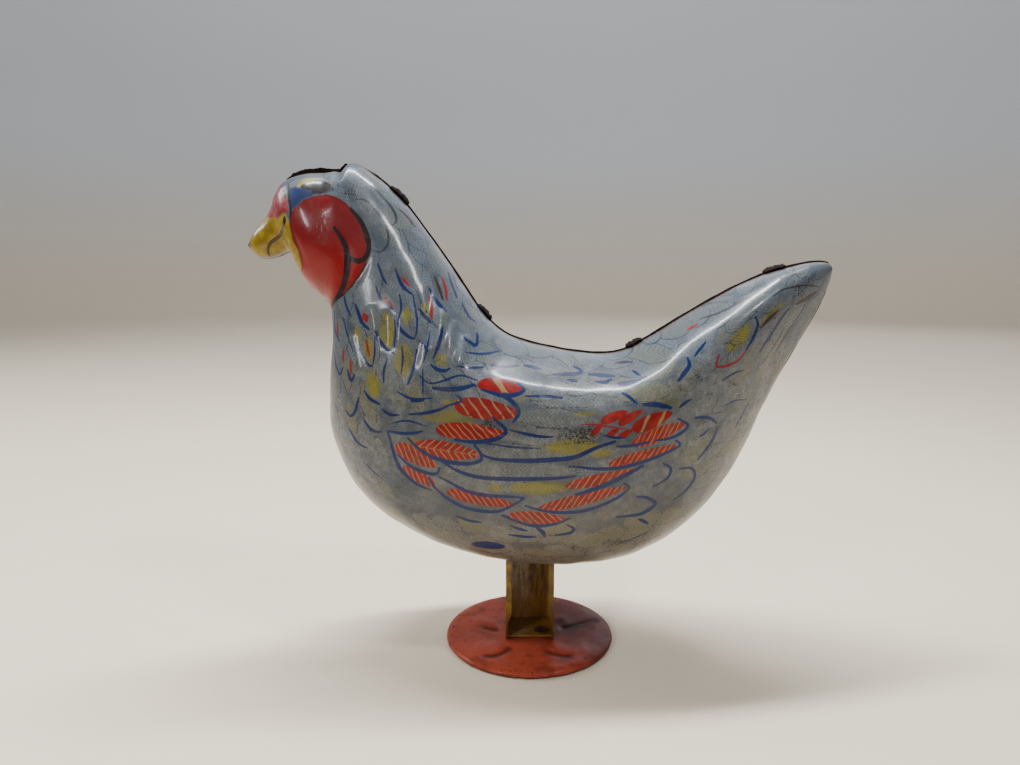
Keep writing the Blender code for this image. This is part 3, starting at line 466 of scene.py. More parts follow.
def station_values(t):
    """Catmull-Rom through the stations at the given places."""
    last = len(STATIONS) - 1
    i = np.minimum(t.astype(int), last - 1)
    s = (t - i)[:, None]
    p0 = STATIONS[np.maximum(i - 1, 0)]
    p1 = STATIONS[i]
    p2 = STATIONS[i + 1]
    p3 = STATIONS[np.minimum(i + 2, last)]
    curve = 2 * p1 + (p2 - p0) * s + (2 * p0 - 5 * p1 + 4 * p2 - p3) * s * s
    return 0.5 * (curve + (3 * p1 - p0 - 3 * p2 + p3) * s**3)


def spline_weights(u, count=8, degree=3):
    """Weights of a clamped B-spline's control points."""
    knots = np.array([0] * degree + list(range(count - degree + 1)) + [count - degree] * degree, float)
    x = np.minimum(u, 1 - 1e-9) * (count - degree)
    basis = [((knots[i] <= x) & (x < knots[i + 1])).astype(float) for i in range(len(knots) - 1)]
    for d in range(1, degree + 1):
        for i in range(len(knots) - 1 - d):
            left = knots[i + d] - knots[i]
            right = knots[i + d + 1] - knots[i + 1]
            a = (x - knots[i]) / left * basis[i] if left else 0
            b = (knots[i + d + 1] - x) / right * basis[i + 1] if right else 0
            basis[i] = a + b
    return np.stack(basis[:count], -1)


def hull(t, u):
    """Grid of outside points of the near half, rows along the body and columns down the section."""
    tx, tz, bx, bz, width, body, tail = station_values(t).T
    head = 1 - body - tail
    controls = np.einsum("tk,kcd->tcd", np.stack([head, body, tail], -1), SECTIONS)
    share, bulge = np.moveaxis(np.einsum("uc,tcd->tud", spline_weights(u), controls), -1, 0)
    top_gap = 0.5 * (0.3 + 0.4 * np.exp(-(((tx - 0.5) / 11.0) ** 2)))
    gap = np.where(u[None, :] < 0.5, top_gap[:, None], 0.15)
    x = tx[:, None] + (bx - tx)[:, None] * share
    z = tz[:, None] + (bz - tz)[:, None] * share
    return np.stack([x, -(gap + width[:, None] * bulge), z], -1)


def even_steps(spacing):
    """Station and section parameters that give an even grid of about the spacing."""
    t = np.linspace(0.02, len(STATIONS) - 1.02, 1800)
    u = np.linspace(0, 1, 160)
    grid = hull(t, u)
    along = np.linalg.norm(np.diff(grid, axis=0), axis=2).max(1)
    down = np.linalg.norm(np.diff(grid, axis=1), axis=2).max(0)
    travel_t = np.concatenate([[0], np.cumsum(along)])
    travel_u = np.concatenate([[0], np.cumsum(down)])
    rows = np.interp(np.linspace(0, travel_t[-1], int(travel_t[-1] / spacing)), travel_t, t)
    columns = np.interp(np.linspace(0, travel_u[-1], int(travel_u[-1] / spacing)), travel_u, u)
    return rows, columns


def grid_normals(grid):
    along = np.gradient(grid, axis=0)
    down = np.gradient(grid, axis=1)
    normal = np.cross(down, along)
    if normal[len(grid) // 2, grid.shape[1] // 2, 1] > 0:
        normal = -normal
    normal[:, 0, 1] = 0
    normal[:, -1, 1] = 0
    return normal / np.maximum(np.linalg.norm(normal, axis=2, keepdims=True), 1e-9)


def opening_distance(points, right_side):
    """Signed distance to the nearest opening's outline, and the way out of it."""
    x, y, z = points.T
    far = np.full(len(points), 9.0)
    way = np.zeros_like(points)

    def merge(distance, direction, where):
        take = where & (distance < far)
        far[take] = distance[take]
        way[take] = direction[take]

    def box(centre_x, half_x, half_y, where):
        dx = np.abs(x - centre_x) - half_x
        dy = np.abs(y) - half_y
        use_x = dx > dy
        direction = np.zeros_like(points)
        direction[:, 0] = np.where(use_x, np.sign(x - centre_x), 0)
        direction[:, 1] = np.where(use_x, 0, np.sign(y))
        merge(np.maximum(dx, dy), direction, where)

    def ring(a, b, centre_a, centre_b, radius, axes, where):
        da, db = a - centre_a, b - centre_b
        size = np.maximum(np.hypot(da, db), 1e-6)
        direction = np.zeros_like(points)
        direction[:, axes[0]] = da / size
        direction[:, axes[1]] = db / size
        merge(size - radius, direction, where)

    box(LEG_X, 8.5, 8.2, z < 60)
    box(-64.4, 9.0, 0.75, z > 130)
    ring(x, y, OUTLET[0], 0, OUTLET[1], (0, 1), z < 60)
    if right_side:
        ring(x, z, LOADING[0], LOADING[1], LOADING[2], (0, 2), x > 0)
    return far, way


def nape_notch(grid):
    """Lowers the top edge where the head ends, just ahead of the nape's corner."""
    high = np.clip((grid[..., 2] - 138.0) / 3.0, 0, 1)
    grid[..., 2] -= 1.5 * high * np.exp(-(((grid[..., 0] + 56.6) / 1.5) ** 2))


def cut_grid(points, rows, columns, right_side):
    """Faces of the grid outside the openings, with the cut border moved onto the outlines."""
    index = np.arange(rows * columns).reshape(rows, columns)
    faces = np.stack([index[:-1, :-1], index[:-1, 1:], index[1:, 1:], index[1:, :-1]], -1).reshape(-1, 4)
    distance, way = opening_distance(points, right_side)
    gone = distance[faces].min(1) < 0
    border = np.intersect1d(faces[gone].ravel(), faces[~gone].ravel())
    points[border] -= way[border] * distance[border, None]
    return faces[~gone]


def open_edges(faces):
    """Edges with a face on one side only."""
    edges = np.concatenate([faces[:, [k, (k + 1) % 4]] for k in range(4)])
    ordered = np.sort(edges, axis=1)
    key = ordered[:, 0].astype(np.int64) * (faces.max() + 1) + ordered[:, 1]
    _, first, counts = np.unique(key, return_index=True, return_counts=True)
    return edges[first[counts == 1]]


def band_faces(rows, columns, closed=True, first=0, flip=False):
    """Quads between rows of points, round rings or, where not closed, over a strip."""
    faces = []
    for i in range(rows - 1):
        for j in range(columns if closed else columns - 1):
            a = first + i * columns + j
            b = first + i * columns + (j + 1) % columns
            faces.append((a, a + columns, b + columns, b) if flip else (a, b, b + columns, a + columns))
    return faces


def mesh_piece(name, points, faces, finish, body="hen", smooth=True, fields=None):
    """A mesh object from points in mm; every piece rides on its body."""
    mesh = bpy.data.meshes.new(name)
    mesh.from_pydata((np.asarray(points, float) * MM).tolist(), [], [tuple(f) for f in faces])
    mesh.polygons.foreach_set("use_smooth", [smooth] * len(mesh.polygons))
    mesh.materials.append(finish)
    for key, values in (fields or {}).items():
        layer = mesh.attributes.new(key, "FLOAT", "POINT")
        layer.data.foreach_set("value", np.asarray(values, np.float32))
    made = bpy.data.objects.new(name, mesh)
    bpy.context.scene.collection.objects.link(made)
    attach(made, body)
    return made


def print_fields(points):
    """Everything the print needs, as one value per point."""
    x, z = points[:, 0], points[:, 2]
    feather, barb, quill = feather_fields(x, z)
    rim, fine, tone = plumage(x, z)
    ox, oz, ra, rb = OVAL
    oval = (np.hypot((x - ox) / ra, (z - oz) / rb) - 1) * rb
    return {
        "blue": np.minimum(stroke_field(x, z, BLUE), np.clip(oval, -INK_REACH, INK_REACH)),
        "grey": stroke_field(x, z, GREY),
        "brown": stroke_field(x, z, BROWN),
        "red": stroke_field(x, z, RED),
        "yellow": stroke_field(x, z, YELLOW, 3.0, 0.45, 1.35),
        "black": stroke_field(x, z, BLACK),
        "beak": patch_field(x, z, BEAK),
        "face": patch_field(x, z, FACE),
        "eye": patch_field(x, z, EYE),
        "forehead": patch_field(x, z, FOREHEAD),
        "rim": rim,
        "fine": fine,
        "tone": tone,
        "feather": feather,
        "barb": barb,
        "quill": quill,
        "wear": wear_amount(x, z),
    }


def relief_on(grid):
    return relief_height(grid[..., 0].ravel(), grid[..., 2].ravel()).reshape(grid.shape[:2])


def body_grid(spacing):
    t, u = even_steps(spacing)
    grid = hull(t, u)
    nape_notch(grid)
    return t, u, grid


def printed_skin(side, finish):
    """Printed outside of a body half, with its pressed relief and the rim of the sheet."""
    right = side > 0
    t, u, grid = body_grid(FINE)
    normals = grid_normals(grid)
    edge = np.minimum(np.abs(grid[..., 1]) / 2.0, 1)
    grid = grid + normals * (relief_on(grid) * edge)[..., None]
    grid[..., 1] = np.minimum(grid[..., 1], -0.1)
    grid[..., 2] = np.minimum(grid[..., 2], SHELL_TOP)
    points = grid.reshape(-1, 3) * (1, -side, 1)
    normals = normals.reshape(-1, 3) * (1, -side, 1)
    faces = cut_grid(points, len(t), len(u), right)
    if right:
        faces = faces[:, ::-1]
    fields = print_fields(points)
    girth = np.linalg.norm(np.diff(hull(t, u), axis=1), axis=2).sum(1)
    seam = np.minimum(u, 1 - u)[None, :] * girth[:, None]
    head_top = np.exp(-(((points[:, 0] + 64.5) / 9.5) ** 6)) * (points[:, 2] > 130)
    fields["seam"] = np.minimum(seam.ravel(), 9) - 0.9 * head_top
    rim, places = np.unique(open_edges(faces).ravel(), return_inverse=True)
    base, count = len(points), len(rim)
    a, b = places[0::2] + base, places[1::2] + base
    faces = np.vstack([faces, np.stack([b, a, a + count, b + count], -1)])
    points = np.vstack([points, points[rim], points[rim] - normals[rim] * SHEET])
    keep = np.concatenate([np.arange(base), rim, rim])
    fields = {key: np.asarray(values)[keep] for key, values in fields.items()}
    fields["seam"][base:] = 0.0
    used, places = np.unique(faces.ravel(), return_inverse=True)
    fields = {key: values[used] for key, values in fields.items()}
    label = "right" if right else "left"
    return mesh_piece(f"tin_{label}", points[used], places.reshape(-1, 4), finish, fields=fields)


def plain_skin(side, finish):
    """Unprinted inside of a body half, one sheet in from the outside."""
    right = side > 0
    t, u, grid = body_grid(PLAIN)
    grid = grid + grid_normals(grid) * (relief_on(grid) - SHEET)[..., None]
    grid[..., 1] = np.minimum(grid[..., 1], -0.12)
    points = grid.reshape(-1, 3) * (1, -side, 1)
    faces = cut_grid(points, len(t), len(u), right)
    if not right:
        faces = faces[:, ::-1]
    used, places = np.unique(faces.ravel(), return_inverse=True)
    label = "right" if right else "left"
    return mesh_piece(f"tin_inside_{label}", points[used], places.reshape(-1, 4), finish)


# ------------------------------------------------------------------ node materials


def rgb(red, green, blue):
    """Linear colour from 0-255 display values."""
    values = [v / 255 for v in (red, green, blue)]
    return tuple(v / 12.92 if v < 0.04045 else ((v + 0.055) / 1.055) ** 2.4 for v in values) + (1.0,)


class Look:
    """A node material and what it is drawn with; places are the object's own coordinates in mm."""

    def __init__(self, name, **sockets):
        self.material = bpy.data.materials.new(name)
        self.material.use_nodes = True
        self.nodes = self.material.node_tree.nodes
        self.links = self.material.node_tree.links
        self.shader = self.nodes["Principled BSDF"]
        for key, value in sockets.items():
            self.shader.inputs[key.replace("_", " ")].default_value = value
        place = self.add("ShaderNodeTexCoord").outputs["Object"]
        scale = self.add("ShaderNodeVectorMath", operation="SCALE")
        self.links.new(place, scale.inputs[0])
        scale.inputs["Scale"].default_value = 1000.0
        self.place = scale.outputs[0]

    def add(self, kind, **settings):
        node = self.nodes.new(kind)
        for key, value in settings.items():
            setattr(node, key, value)
        return node

    def plug(self, socket, value):
        if isinstance(value, bpy.types.NodeSocket):
            self.links.new(value, socket)
        else:
            socket.default_value = value

    def math(self, operation, *values):
        node = self.add("ShaderNodeMath", operation=operation)
        for socket, value in zip(node.inputs, values):
            self.plug(socket, value)
        return node.outputs[0]

    def times(self, a, b):
        return self.math("MULTIPLY", a, b)

    def plus(self, a, b):
        return self.math("ADD", a, b)

    def wave(self, count):
        """Distance from the middle of a barb, from a count along the quill."""
        return self.math("ABSOLUTE", self.math("SUBTRACT", self.math("FRACT", count), 0.5))

    def mix(self, factor, a, b, kind="RGBA"):
        node = self.add("ShaderNodeMix", data_type=kind)
        for key, value in (("Factor", factor), ("A", a), ("B", b)):
            self.plug(node.inputs[key], value)
        return node.outputs["Result"]

    def tint(self, colour, amount, strength, red, green, blue):
        """The colour with some of another over it, as strong as the amount times the strength."""
        return self.mix(self.times(amount, strength), colour, rgb(red, green, blue))

    def blend(self, factor, a, b):
        return self.mix(factor, a, b, "FLOAT")

    def stretched(self, x, y, z):
        node = self.add("ShaderNodeVectorMath", operation="MULTIPLY")
        self.links.new(self.place, node.inputs[0])
        node.inputs[1].default_value = (x, y, z)
        return node.outputs[0]

    def noise(self, size, detail=3.0, rough=0.55, place=None, twist=0.0):
        """Noise 0 to 1 with features of about the size in mm."""
        node = self.add("ShaderNodeTexNoise")
        self.links.new(place or self.place, node.inputs["Vector"])
        node.inputs["Scale"].default_value = 1.0 / size
        node.inputs["Detail"].default_value = detail
        node.inputs["Roughness"].default_value = rough
        node.inputs["Distortion"].default_value = twist
        return node.outputs["Fac"]

    def field(self, name):
        return self.add("ShaderNodeAttribute", attribute_name=name).outputs["Fac"]

    def axis(self, letter):
        node = self.add("ShaderNodeSeparateXYZ")
        self.links.new(self.place, node.inputs[0])
        return node.outputs[letter]

    def step(self, value, low, high):
        node = self.add("ShaderNodeMapRange", interpolation_type="SMOOTHSTEP")
        self.plug(node.inputs["Value"], value)
        node.inputs["From Min"].default_value = low
        node.inputs["From Max"].default_value = high
        return node.outputs[0]

    def below(self, value, edge, soft):
        """1 where the value is under the edge."""
        return self.math("SUBTRACT", 1.0, self.step(value, edge - soft, edge + soft))

    def bump(self, height, depth, strength=1.0):
        node = self.add("ShaderNodeBump")
        node.inputs["Strength"].default_value = strength
        node.inputs["Distance"].default_value = depth * MM
        self.links.new(height, node.inputs["Height"])
        self.links.new(node.outputs[0], self.shader.inputs["Normal"])

    def finish(self, colour, rough, metal=None):
        self.plug(self.shader.inputs["Base Color"], colour)
        self.plug(self.shader.inputs["Roughness"], rough)
        if metal is not None:
            self.plug(self.shader.inputs["Metallic"], metal)
        return self.material


def printed_tin():
    look = Look("printed_tin", Coat_Weight=0.28, Coat_Roughness=0.13, Specular_IOR_Level=0.2)
    broad = look.noise(14.0, 3.0)
    mottle = look.noise(2.2, 4.0, 0.6)
    fine = look.noise(0.5, 2.0)
    hatch = look.noise(0.42, 2.0, 0.5, look.stretched(1.0, 0.5, 0.55), 0.8)
    wobble = look.times(look.math("SUBTRACT", look.noise(0.7, 2.0), 0.5), 0.3)

    def ink(name, edge=0.0, soft=0.06, strength=1.0):
        value = look.plus(look.field(name), wobble)
        return look.times(look.below(value, edge, soft), strength)

    # pale ground with a fine stippled print, a painted sky reflection tinting the upper body blue, warmer
    # low down (partly dirt, partly a painted floor reflection)
    ground = look.mix(look.step(mottle, 0.35, 0.68), rgb(88, 91, 92), rgb(112, 115, 116))
    ground = look.tint(ground, look.step(broad, 0.42, 0.62), 0.5, 78, 88, 98)
    tone = look.field("tone")
    ground = look.tint(ground, look.step(tone, 0.5, 0.95), 0.6, 100, 98, 68)
    ground = look.tint(ground, look.step(hatch, 0.5, 0.6), 0.4, 58, 62, 62)
    pits = look.step(look.noise(0.45, 3.0, 0.7), 0.58, 0.66)
    ground = look.tint(ground, pits, 0.5, 62, 46, 40)
    # painted reflection: the upper body tinted blue, as if it mirrored the sky
    height = look.plus(look.axis("Z"), look.times(broad, 14.0))
    ground = look.tint(ground, look.step(height, 86.0, 104.0), 0.5, 74, 86, 100)
    # warmer low down: partly dirt, partly a painted reflection of the floor
    ground = look.tint(ground, look.below(height, 54.0, 16.0), 0.6, 112, 102, 84)
    yellow = look.times(ink("yellow", -0.1, 0.5), look.step(mottle, 0.22, 0.5))
    colour = look.tint(ground, yellow, 0.8, 116, 108, 24)

    # small drawn feathers: fine outlines and barbs
    patchy = look.step(look.noise(9.0, 2.0), 0.36, 0.6)
    outline = look.step(look.plus(look.field("rim"), wobble), -0.34, -0.2)
    barbs = look.step(look.wave(look.field("fine")), 0.36, 0.46)
    barbs = look.times(barbs, look.step(look.field("rim"), -0.1, -0.5))
    drawn = look.math("MAXIMUM", look.times(outline, 0.85), look.times(barbs, 0.5))
    colour = look.tint(colour, drawn, look.blend(patchy, 0.45, 1.0), 24, 38, 54)

    # red feathers with pale slanted barbs
    barb = look.wave(look.field("barb"))
    pale = look.math("MAXIMUM", look.step(barb, 0.37, 0.42), look.below(look.field("quill"), 0.14, 0.07))
    pale = look.times(pale, look.step(look.noise(1.4, 2.0), 0.3, 0.42))
    plume = look.mix(look.step(mottle, 0.4, 0.7), rgb(112, 8, 6), rgb(138, 16, 10))
    plume = look.tint(plume, pale, 0.85, 128, 112, 78)
    colour = look.mix(ink("feather"), colour, plume)
    colour = look.mix(ink("red", strength=0.9), colour, rgb(118, 12, 16))

    # head: beak, forehead, red face, blue round the eye
    beak = look.mix(look.step(mottle, 0.35, 0.7), rgb(112, 90, 6), rgb(140, 120, 18))
    colour = look.mix(ink("beak"), colour, beak)
    brow = look.mix(look.step(mottle, 0.42, 0.62), rgb(112, 20, 28), rgb(146, 56, 62))
    colour = look.mix(ink("forehead", strength=0.92), colour, brow)
    depth = look.plus(look.axis("Z"), look.times(look.noise(3.0, 3.0), 8.0))
    face = look.mix(look.below(depth, 124.0, 5.0), rgb(104, 12, 18), rgb(122, 8, 10))
    face = look.tint(face, look.step(look.field("face"), -1.0, -0.1), 0.5, 70, 8, 16)
    scratch = look.noise(0.7, 2.0, 0.5, look.stretched(1.4, 1.0, 0.2))
    scratch = look.times(look.step(scratch, 0.62, 0.68), look.step(look.field("wear"), 0.1, 0.4))
    face = look.tint(face, scratch, 0.6, 190, 120, 116)
    colour = look.mix(ink("face"), colour, face)
    eye = look.mix(look.step(look.axis("X"), -68.5, -61.0), rgb(14, 34, 84), rgb(40, 46, 66))
    # pale band along the top of the eye patch: partly bare ground, partly a painted highlight under the
    # comb strip
    eye_top_ground_and_sheen = look.math("SUBTRACT", look.plus(look.axis("Z"), look.times(mottle, 2.0)), 137.6)
    eye = look.tint(eye, look.step(eye_top_ground_and_sheen, -0.6, 0.6), 0.8, 104, 104, 108)
    eye = look.mix(ink("yellow", 0.0, 0.3, 0.8), eye, rgb(140, 130, 30))
    colour = look.mix(ink("eye", strength=0.95), colour, eye)
    colour = look.mix(ink("grey", strength=0.85), colour, rgb(38, 34, 46))
    colour = look.mix(ink("brown", strength=0.9), colour, rgb(46, 24, 16))
    colour = look.mix(ink("blue", strength=0.97), colour, rgb(1, 26, 76))
    colour = look.mix(ink("black", strength=0.97), colour, rgb(18, 12, 18))

    # bare, stained and rusted tin
    wear = look.field("wear")
    seam = look.field("seam")
    speck = look.noise(0.55, 3.0, 0.7)
    worn = look.step(look.plus(look.times(wear, 0.24), speck), 0.66, 0.72)
    colour = look.tint(colour, worn, 0.9, 38, 24, 18)
    film = look.times(look.step(look.noise(5.0, 4.0, 0.65), 0.5, 0.75), 0.3)
    colour = look.mix(film, colour, rgb(88, 76, 56))
    edge = look.math("SUBTRACT", seam, look.times(look.noise(1.8, 4.0, 0.65), 4.2))
    stain = look.below(edge, -0.2, 0.9)
    colour = look.tint(colour, stain, 0.7, 82, 60, 42)
    rust = look.below(look.math("SUBTRACT", seam, look.times(speck, 2.5)), -0.3, 0.25)
    colour = look.mix(rust, colour, look.mix(look.step(fine, 0.4, 0.6), rgb(16, 11, 10), rgb(44, 26, 18)))

    rough = look.blend(look.step(broad, 0.4, 0.65), 0.28, 0.4)
    rough = look.blend(look.math("MAXIMUM", worn, rust), rough, 0.75)
    relief = look.plus(look.times(look.noise(0.8, 2.0), 0.45), look.noise(6.0, 2.0))
    look.bump(look.plus(relief, look.times(rust, -0.4)), 0.16, 0.6)
    return look.finish(colour, rough, look.times(rust, 0.3))


def bare_metal(name, bright, dark):
    """Rolled metal: fine drawing lines, darker patches, a few oxide spots."""
    look = Look(name)
    patch = look.noise(3.0, 4.0, 0.6)
    lines = look.noise(0.6, 2.0, 0.5, look.stretched(1.6, 1.6, 0.12))
    spots = look.step(look.noise(0.9, 3.0, 0.7), 0.62, 0.72)
    colour = look.mix(look.step(patch, 0.38, 0.66), bright, dark)
    colour = look.mix(look.times(look.step(lines, 0.45, 0.6), 0.25), colour, dark)
    colour = look.tint(colour, spots, 0.7, 84, 56, 38)
    rough = look.blend(look.step(patch, 0.35, 0.7), 0.25, 0.5)
    look.bump(look.plus(lines, look.times(spots, 0.8)), 0.03, 0.5)
    return look.finish(colour, look.blend(spots, rough, 0.8), look.blend(spots, 0.95, 0.2))


def rusted_edge():
    look = Look("rusted_edge", Specular_IOR_Level=0.15)
    coarse = look.noise(1.6, 4.0, 0.65)
    fine = look.noise(0.35, 3.0, 0.6)
    colour = look.mix(look.step(coarse, 0.4, 0.62), rgb(14, 9, 8), rgb(38, 22, 15))
    colour = look.tint(colour, look.step(fine, 0.55, 0.7), 0.4, 66, 38, 24)
    look.bump(look.plus(coarse, fine), 0.25, 0.8)
    return look.finish(colour, look.blend(fine, 0.75, 0.95), look.blend(coarse, 0.0, 0.2))


def foot_paint():
    look = Look("foot_paint", Coat_Weight=0.12, Coat_Roughness=0.16, Specular_IOR_Level=0.08)
    x, y = look.axis("X"), look.axis("Y")
    broad = look.noise(7.0, 4.0, 0.6)
    fine = look.noise(0.8, 3.0, 0.6)
    # painted shade: the disc darkens from the left front to the right back, away from the light
    side = look.plus(look.plus(x, look.times(y, 0.7)), look.times(broad, 16.0))
    paint = look.mix(look.step(side, -4.0, 24.0), rgb(150, 64, 46), rgb(90, 32, 24))
    paint = look.tint(paint, look.step(broad, 0.5, 0.7), 0.45, 70, 18, 14)
    # painted shade in the pressed creases of the toes
    crease = look.below(look.field("crease"), -0.12, 0.14)
    paint = look.tint(paint, crease, 0.65, 44, 14, 14)
    chip = look.step(look.plus(fine, look.times(look.field("rim"), 0.07)), 0.70, 0.74)
    paint = look.mix(chip, paint, rgb(64, 32, 22))
    # painted shade under the rolled rim, where it meets the floor
    under = look.below(look.axis("Z"), 0.7, 0.3)
    paint = look.tint(paint, under, 0.8, 48, 24, 18)
    grime = look.times(look.step(look.noise(2.0, 4.0, 0.7), 0.5, 0.72), 0.4)
    paint = look.mix(grime, paint, rgb(62, 24, 18))
    look.bump(look.plus(look.times(fine, 0.5), broad), 0.16, 0.6)
    return look.finish(paint, look.blend(chip, look.blend(broad, 0.22, 0.42), 0.8))


def leg_paint():
    """Ochre lacquer on the lips, worn to grey and brown metal inside the channel."""
    look = Look("leg_paint", Coat_Weight=0.1, Coat_Roughness=0.2, Specular_IOR_Level=0.3)
    x, y, z = (look.axis(letter) for letter in "XYZ")
    streak = look.noise(1.4, 4.0, 0.6, look.stretched(1.6, 1.6, 0.22))
    patch = look.noise(3.0, 4.0, 0.65)
    fine = look.noise(0.5, 3.0, 0.65)
    ochre = look.mix(look.step(patch, 0.4, 0.65), rgb(134, 104, 20), rgb(96, 68, 16))
    low = look.below(look.plus(z, look.times(patch, 8.0)), 14.0, 5.0)
    ochre = look.mix(low, ochre, rgb(96, 56, 16))
    # painted shade: the lips darker on the right side, away from the light
    ochre = look.tint(ochre, look.step(x, -2.0, 2.0), 0.6, 74, 52, 16)
    web = look.mix(look.step(streak, 0.4, 0.6), rgb(168, 156, 146), rgb(140, 118, 76))
    right = look.mix(look.step(streak, 0.42, 0.6), rgb(148, 114, 46), rgb(104, 72, 46))
    web = look.mix(look.step(look.plus(x, look.times(patch, 5.0)), -2.5, 1.5), web, right)
    web = look.tint(web, look.step(look.noise(2.4, 4.0, 0.6), 0.52, 0.66), 0.45, 84, 52, 30)
    web = look.tint(web, low, 0.7, 150, 104, 40)
    inside = look.step(look.plus(y, look.times(fine, 0.8)), -6.4, -5.6)
    colour = look.mix(inside, ochre, web)
    outer = look.step(look.math("ABSOLUTE", look.plus(x, 2.85)), 7.1, 7.25)
    colour = look.mix(look.times(outer, inside), colour, ochre)
    chips = look.step(fine, 0.6, 0.68)
    colour = look.tint(colour, chips, 0.6, 50, 32, 20)
    look.bump(look.plus(streak, fine), 0.08, 0.6)
    return look.finish(colour, look.blend(inside, 0.35, 0.6), look.blend(inside, 0.05, 0.2))


# ------------------------------------------------------------------ pieces


def hen_body():
    tin = printed_tin()
    plain = bare_metal("plain_tin", rgb(150, 148, 140), rgb(104, 98, 88))
    for side, node in ((-1, "shell_left"), (1, "shell_right")):
        for piece in (printed_skin(side, tin), plain_skin(side, plain)):
            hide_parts(node)


def seam_frame(t, low=False):
    """Place on the top or bottom seam, the way along it and the way out of the body."""
    first = 2 if low else 0
    here, ahead = station_values(np.array([t, t + 0.15]))[:, first : first + 2]
    along = np.array([ahead[0] - here[0], 0, ahead[1] - here[1]])
    along /= np.linalg.norm(along)
    up = np.array([-along[2], 0, along[0]]) * (-1 if low else 1)
    return np.array([here[0], 0, here[1]]), along, up


def seam_beads(rust):
    """The folded, rusted edge that stands along the seams."""
    random = np.random.default_rng(5)
    spans = (("nape_and_back", 8.5, 30.0, 0.36, False), ("rear_edge", 24.6, 29.9, 0.30, True),
             ("throat", 4.2, 13.6, 0.34, True))
    ring = np.linspace(0, 2 * np.pi, BEAD_SIDES + 1)[:-1]
    for name, first, last, size, low in spans:
        stops = np.linspace(first, last, int((last - first) * 14))
        swell = np.convolve(random.standard_normal(len(stops)), np.ones(7) / 7, "same")
        ends = np.clip(np.minimum(stops - first, last - stops) * 2.5, 0.1, 1)
        points = []
        for stop, wave, end in zip(stops, swell, ends):
            seat, _, up = seam_frame(stop, low)
            radius = size * end * (1 + 0.3 * wave)
            for a in ring:
                points.append(seat + up * radius * (0.35 + 0.75 * math.sin(a))
                              + np.array([0, 1.15 * radius * math.cos(a), 0]))
        faces = band_faces(len(stops), BEAD_SIDES)
        faces.append(tuple(range(BEAD_SIDES)))
        faces.append(tuple(reversed(range(len(points) - BEAD_SIDES, len(points)))))
        bead = mesh_piece(f"seam_bead_{name}", points, faces, rust)
        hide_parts("shell_right")


def seam_tabs(rust):
    """Tongues of the far half bent over the seam, thin, ragged and rusted."""
    profile = [(2.1, -1.2), (2.15, -0.1), (1.9, 0.7), (1.0, 1.2), (0.0, 1.3), (-0.9, 1.15), (-1.7, 0.8),
               (-2.2, 0.4)]
    random = np.random.default_rng(7)
    for number, (t, length) in enumerate(((9.8, 6.0), (14.1, 5.6), (20.5, 6.0), (26.3, 8.5)), 1):
        points = []
        steps = 15
        for i in range(steps):
            s = (i / (steps - 1) - 0.5) * length
            here = np.interp(s, (-length, length), (t - length / 8.4, t + length / 8.4))
            seat, along, up = seam_frame(here)
            round_end = 0.4 + 0.6 * math.sqrt(max(0.0, 1 - abs(2 * i / (steps - 1) - 1) ** 3))
            ragged = round_end - 0.18 * random.random()
            lump = round_end * (0.85 + 0.35 * random.random())
            for y, h in profile:
                sway = 0.08 * random.standard_normal()
                reach = y * (ragged if y < 0 else round_end)
                lifted = seat + up * (h * lump + 0.5 * sway)
                points.append(lifted + np.array([0, reach, 0]) + along * sway)
        faces = band_faces(steps, len(profile), closed=False)
        tab = mesh_piece(f"seam_tab_{number}", points, faces, rust)
        thick = tab.modifiers.new("thickness", "SOLIDIFY")
        thick.thickness = 0.3 * MM
        thick.offset = -1
        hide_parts("shell_right")


def comb_strip(rust):
    """What is left of the comb: a torn, rusted strip standing in the head seam."""
    random = np.random.default_rng(3)
    x = np.linspace(-72.8, -54.3, COMB_STEPS)
    top = np.interp(x, (-72.8, -70.6, -67.2, -62.8, -59.0, -57.4, -56.4, -55.6, -54.9, -54.3),
                    (139.8, 141.5, 142.5, 142.9, 142.6, 142.6, 143.6, 144.1, 143.8, 141.6))
    top = top + np.convolve(random.standard_normal(COMB_STEPS), np.ones(3) / 3, "same") * 0.12
    top = np.minimum(top, COMB_TOP)
    points, faces = [], []
    levels = (0.0, 0.5, 0.85, 1.0)
    for side in (-1, 1):
        for i in range(COMB_STEPS):
            for share in levels:
                thick = (0.38 if share < 1 else 0.28) + 0.03 * random.standard_normal()
                points.append((x[i], side * min(thick, 0.4), COMB_FOOT + (top[i] - COMB_FOOT) * share))
    row = len(levels)
    other = COMB_STEPS * row
    for i in range(COMB_STEPS - 1):
        for j in range(row - 1):
            a = i * row + j
            faces.append((a, a + row, a + row + 1, a + 1))
            faces.append((other + a, other + a + 1, other + a + row + 1, other + a + row))
        a = i * row + row - 1
        faces.append((a, a + row, other + a + row, other + a))
        a = i * row
        faces.append((a, other + a, other + a + row, a + row))
    for i in (0, COMB_STEPS - 1):
        for j in range(row - 1):
            a = i * row + j
            faces.append((a, a + 1, other + a + 1, other + a))
    comb = mesh_piece("comb_remnant", points, faces, rust, smooth=False)
    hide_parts("comb_root")


# Pressed lines in the foot disc: height, width, then the x and y of the points
TOES = [
    (-0.46, 1.1, -17.5, -16.5, -14, -16.8, -10.6, -14.6, -8.6, -11),
    (0.38, 3.2, -20, -12, -15, -12, -11, -9), (-0.42, 1.1, -18, 1, -14.5, -0.4, -11.4, -1),
    (0.34, 2.6, -21, 5, -15, 4, -11.5, 3), (-0.44, 1.3, 5.6, 0.4, 10, 1.2, 15, 3.6, 20, 6.4),
    (0.36, 2.8, 6, 5, 12, 8, 18, 12), (-0.44, 1.1, 1.8, -13.6, 5, -16, 9.6, -17.2),
    (0.38, 2.8, 3, -10.6, 9, -13, 15, -12.5), (0.3, 1.8, -5.6, -13, -4.6, -16, -4.4, -18.6),
]


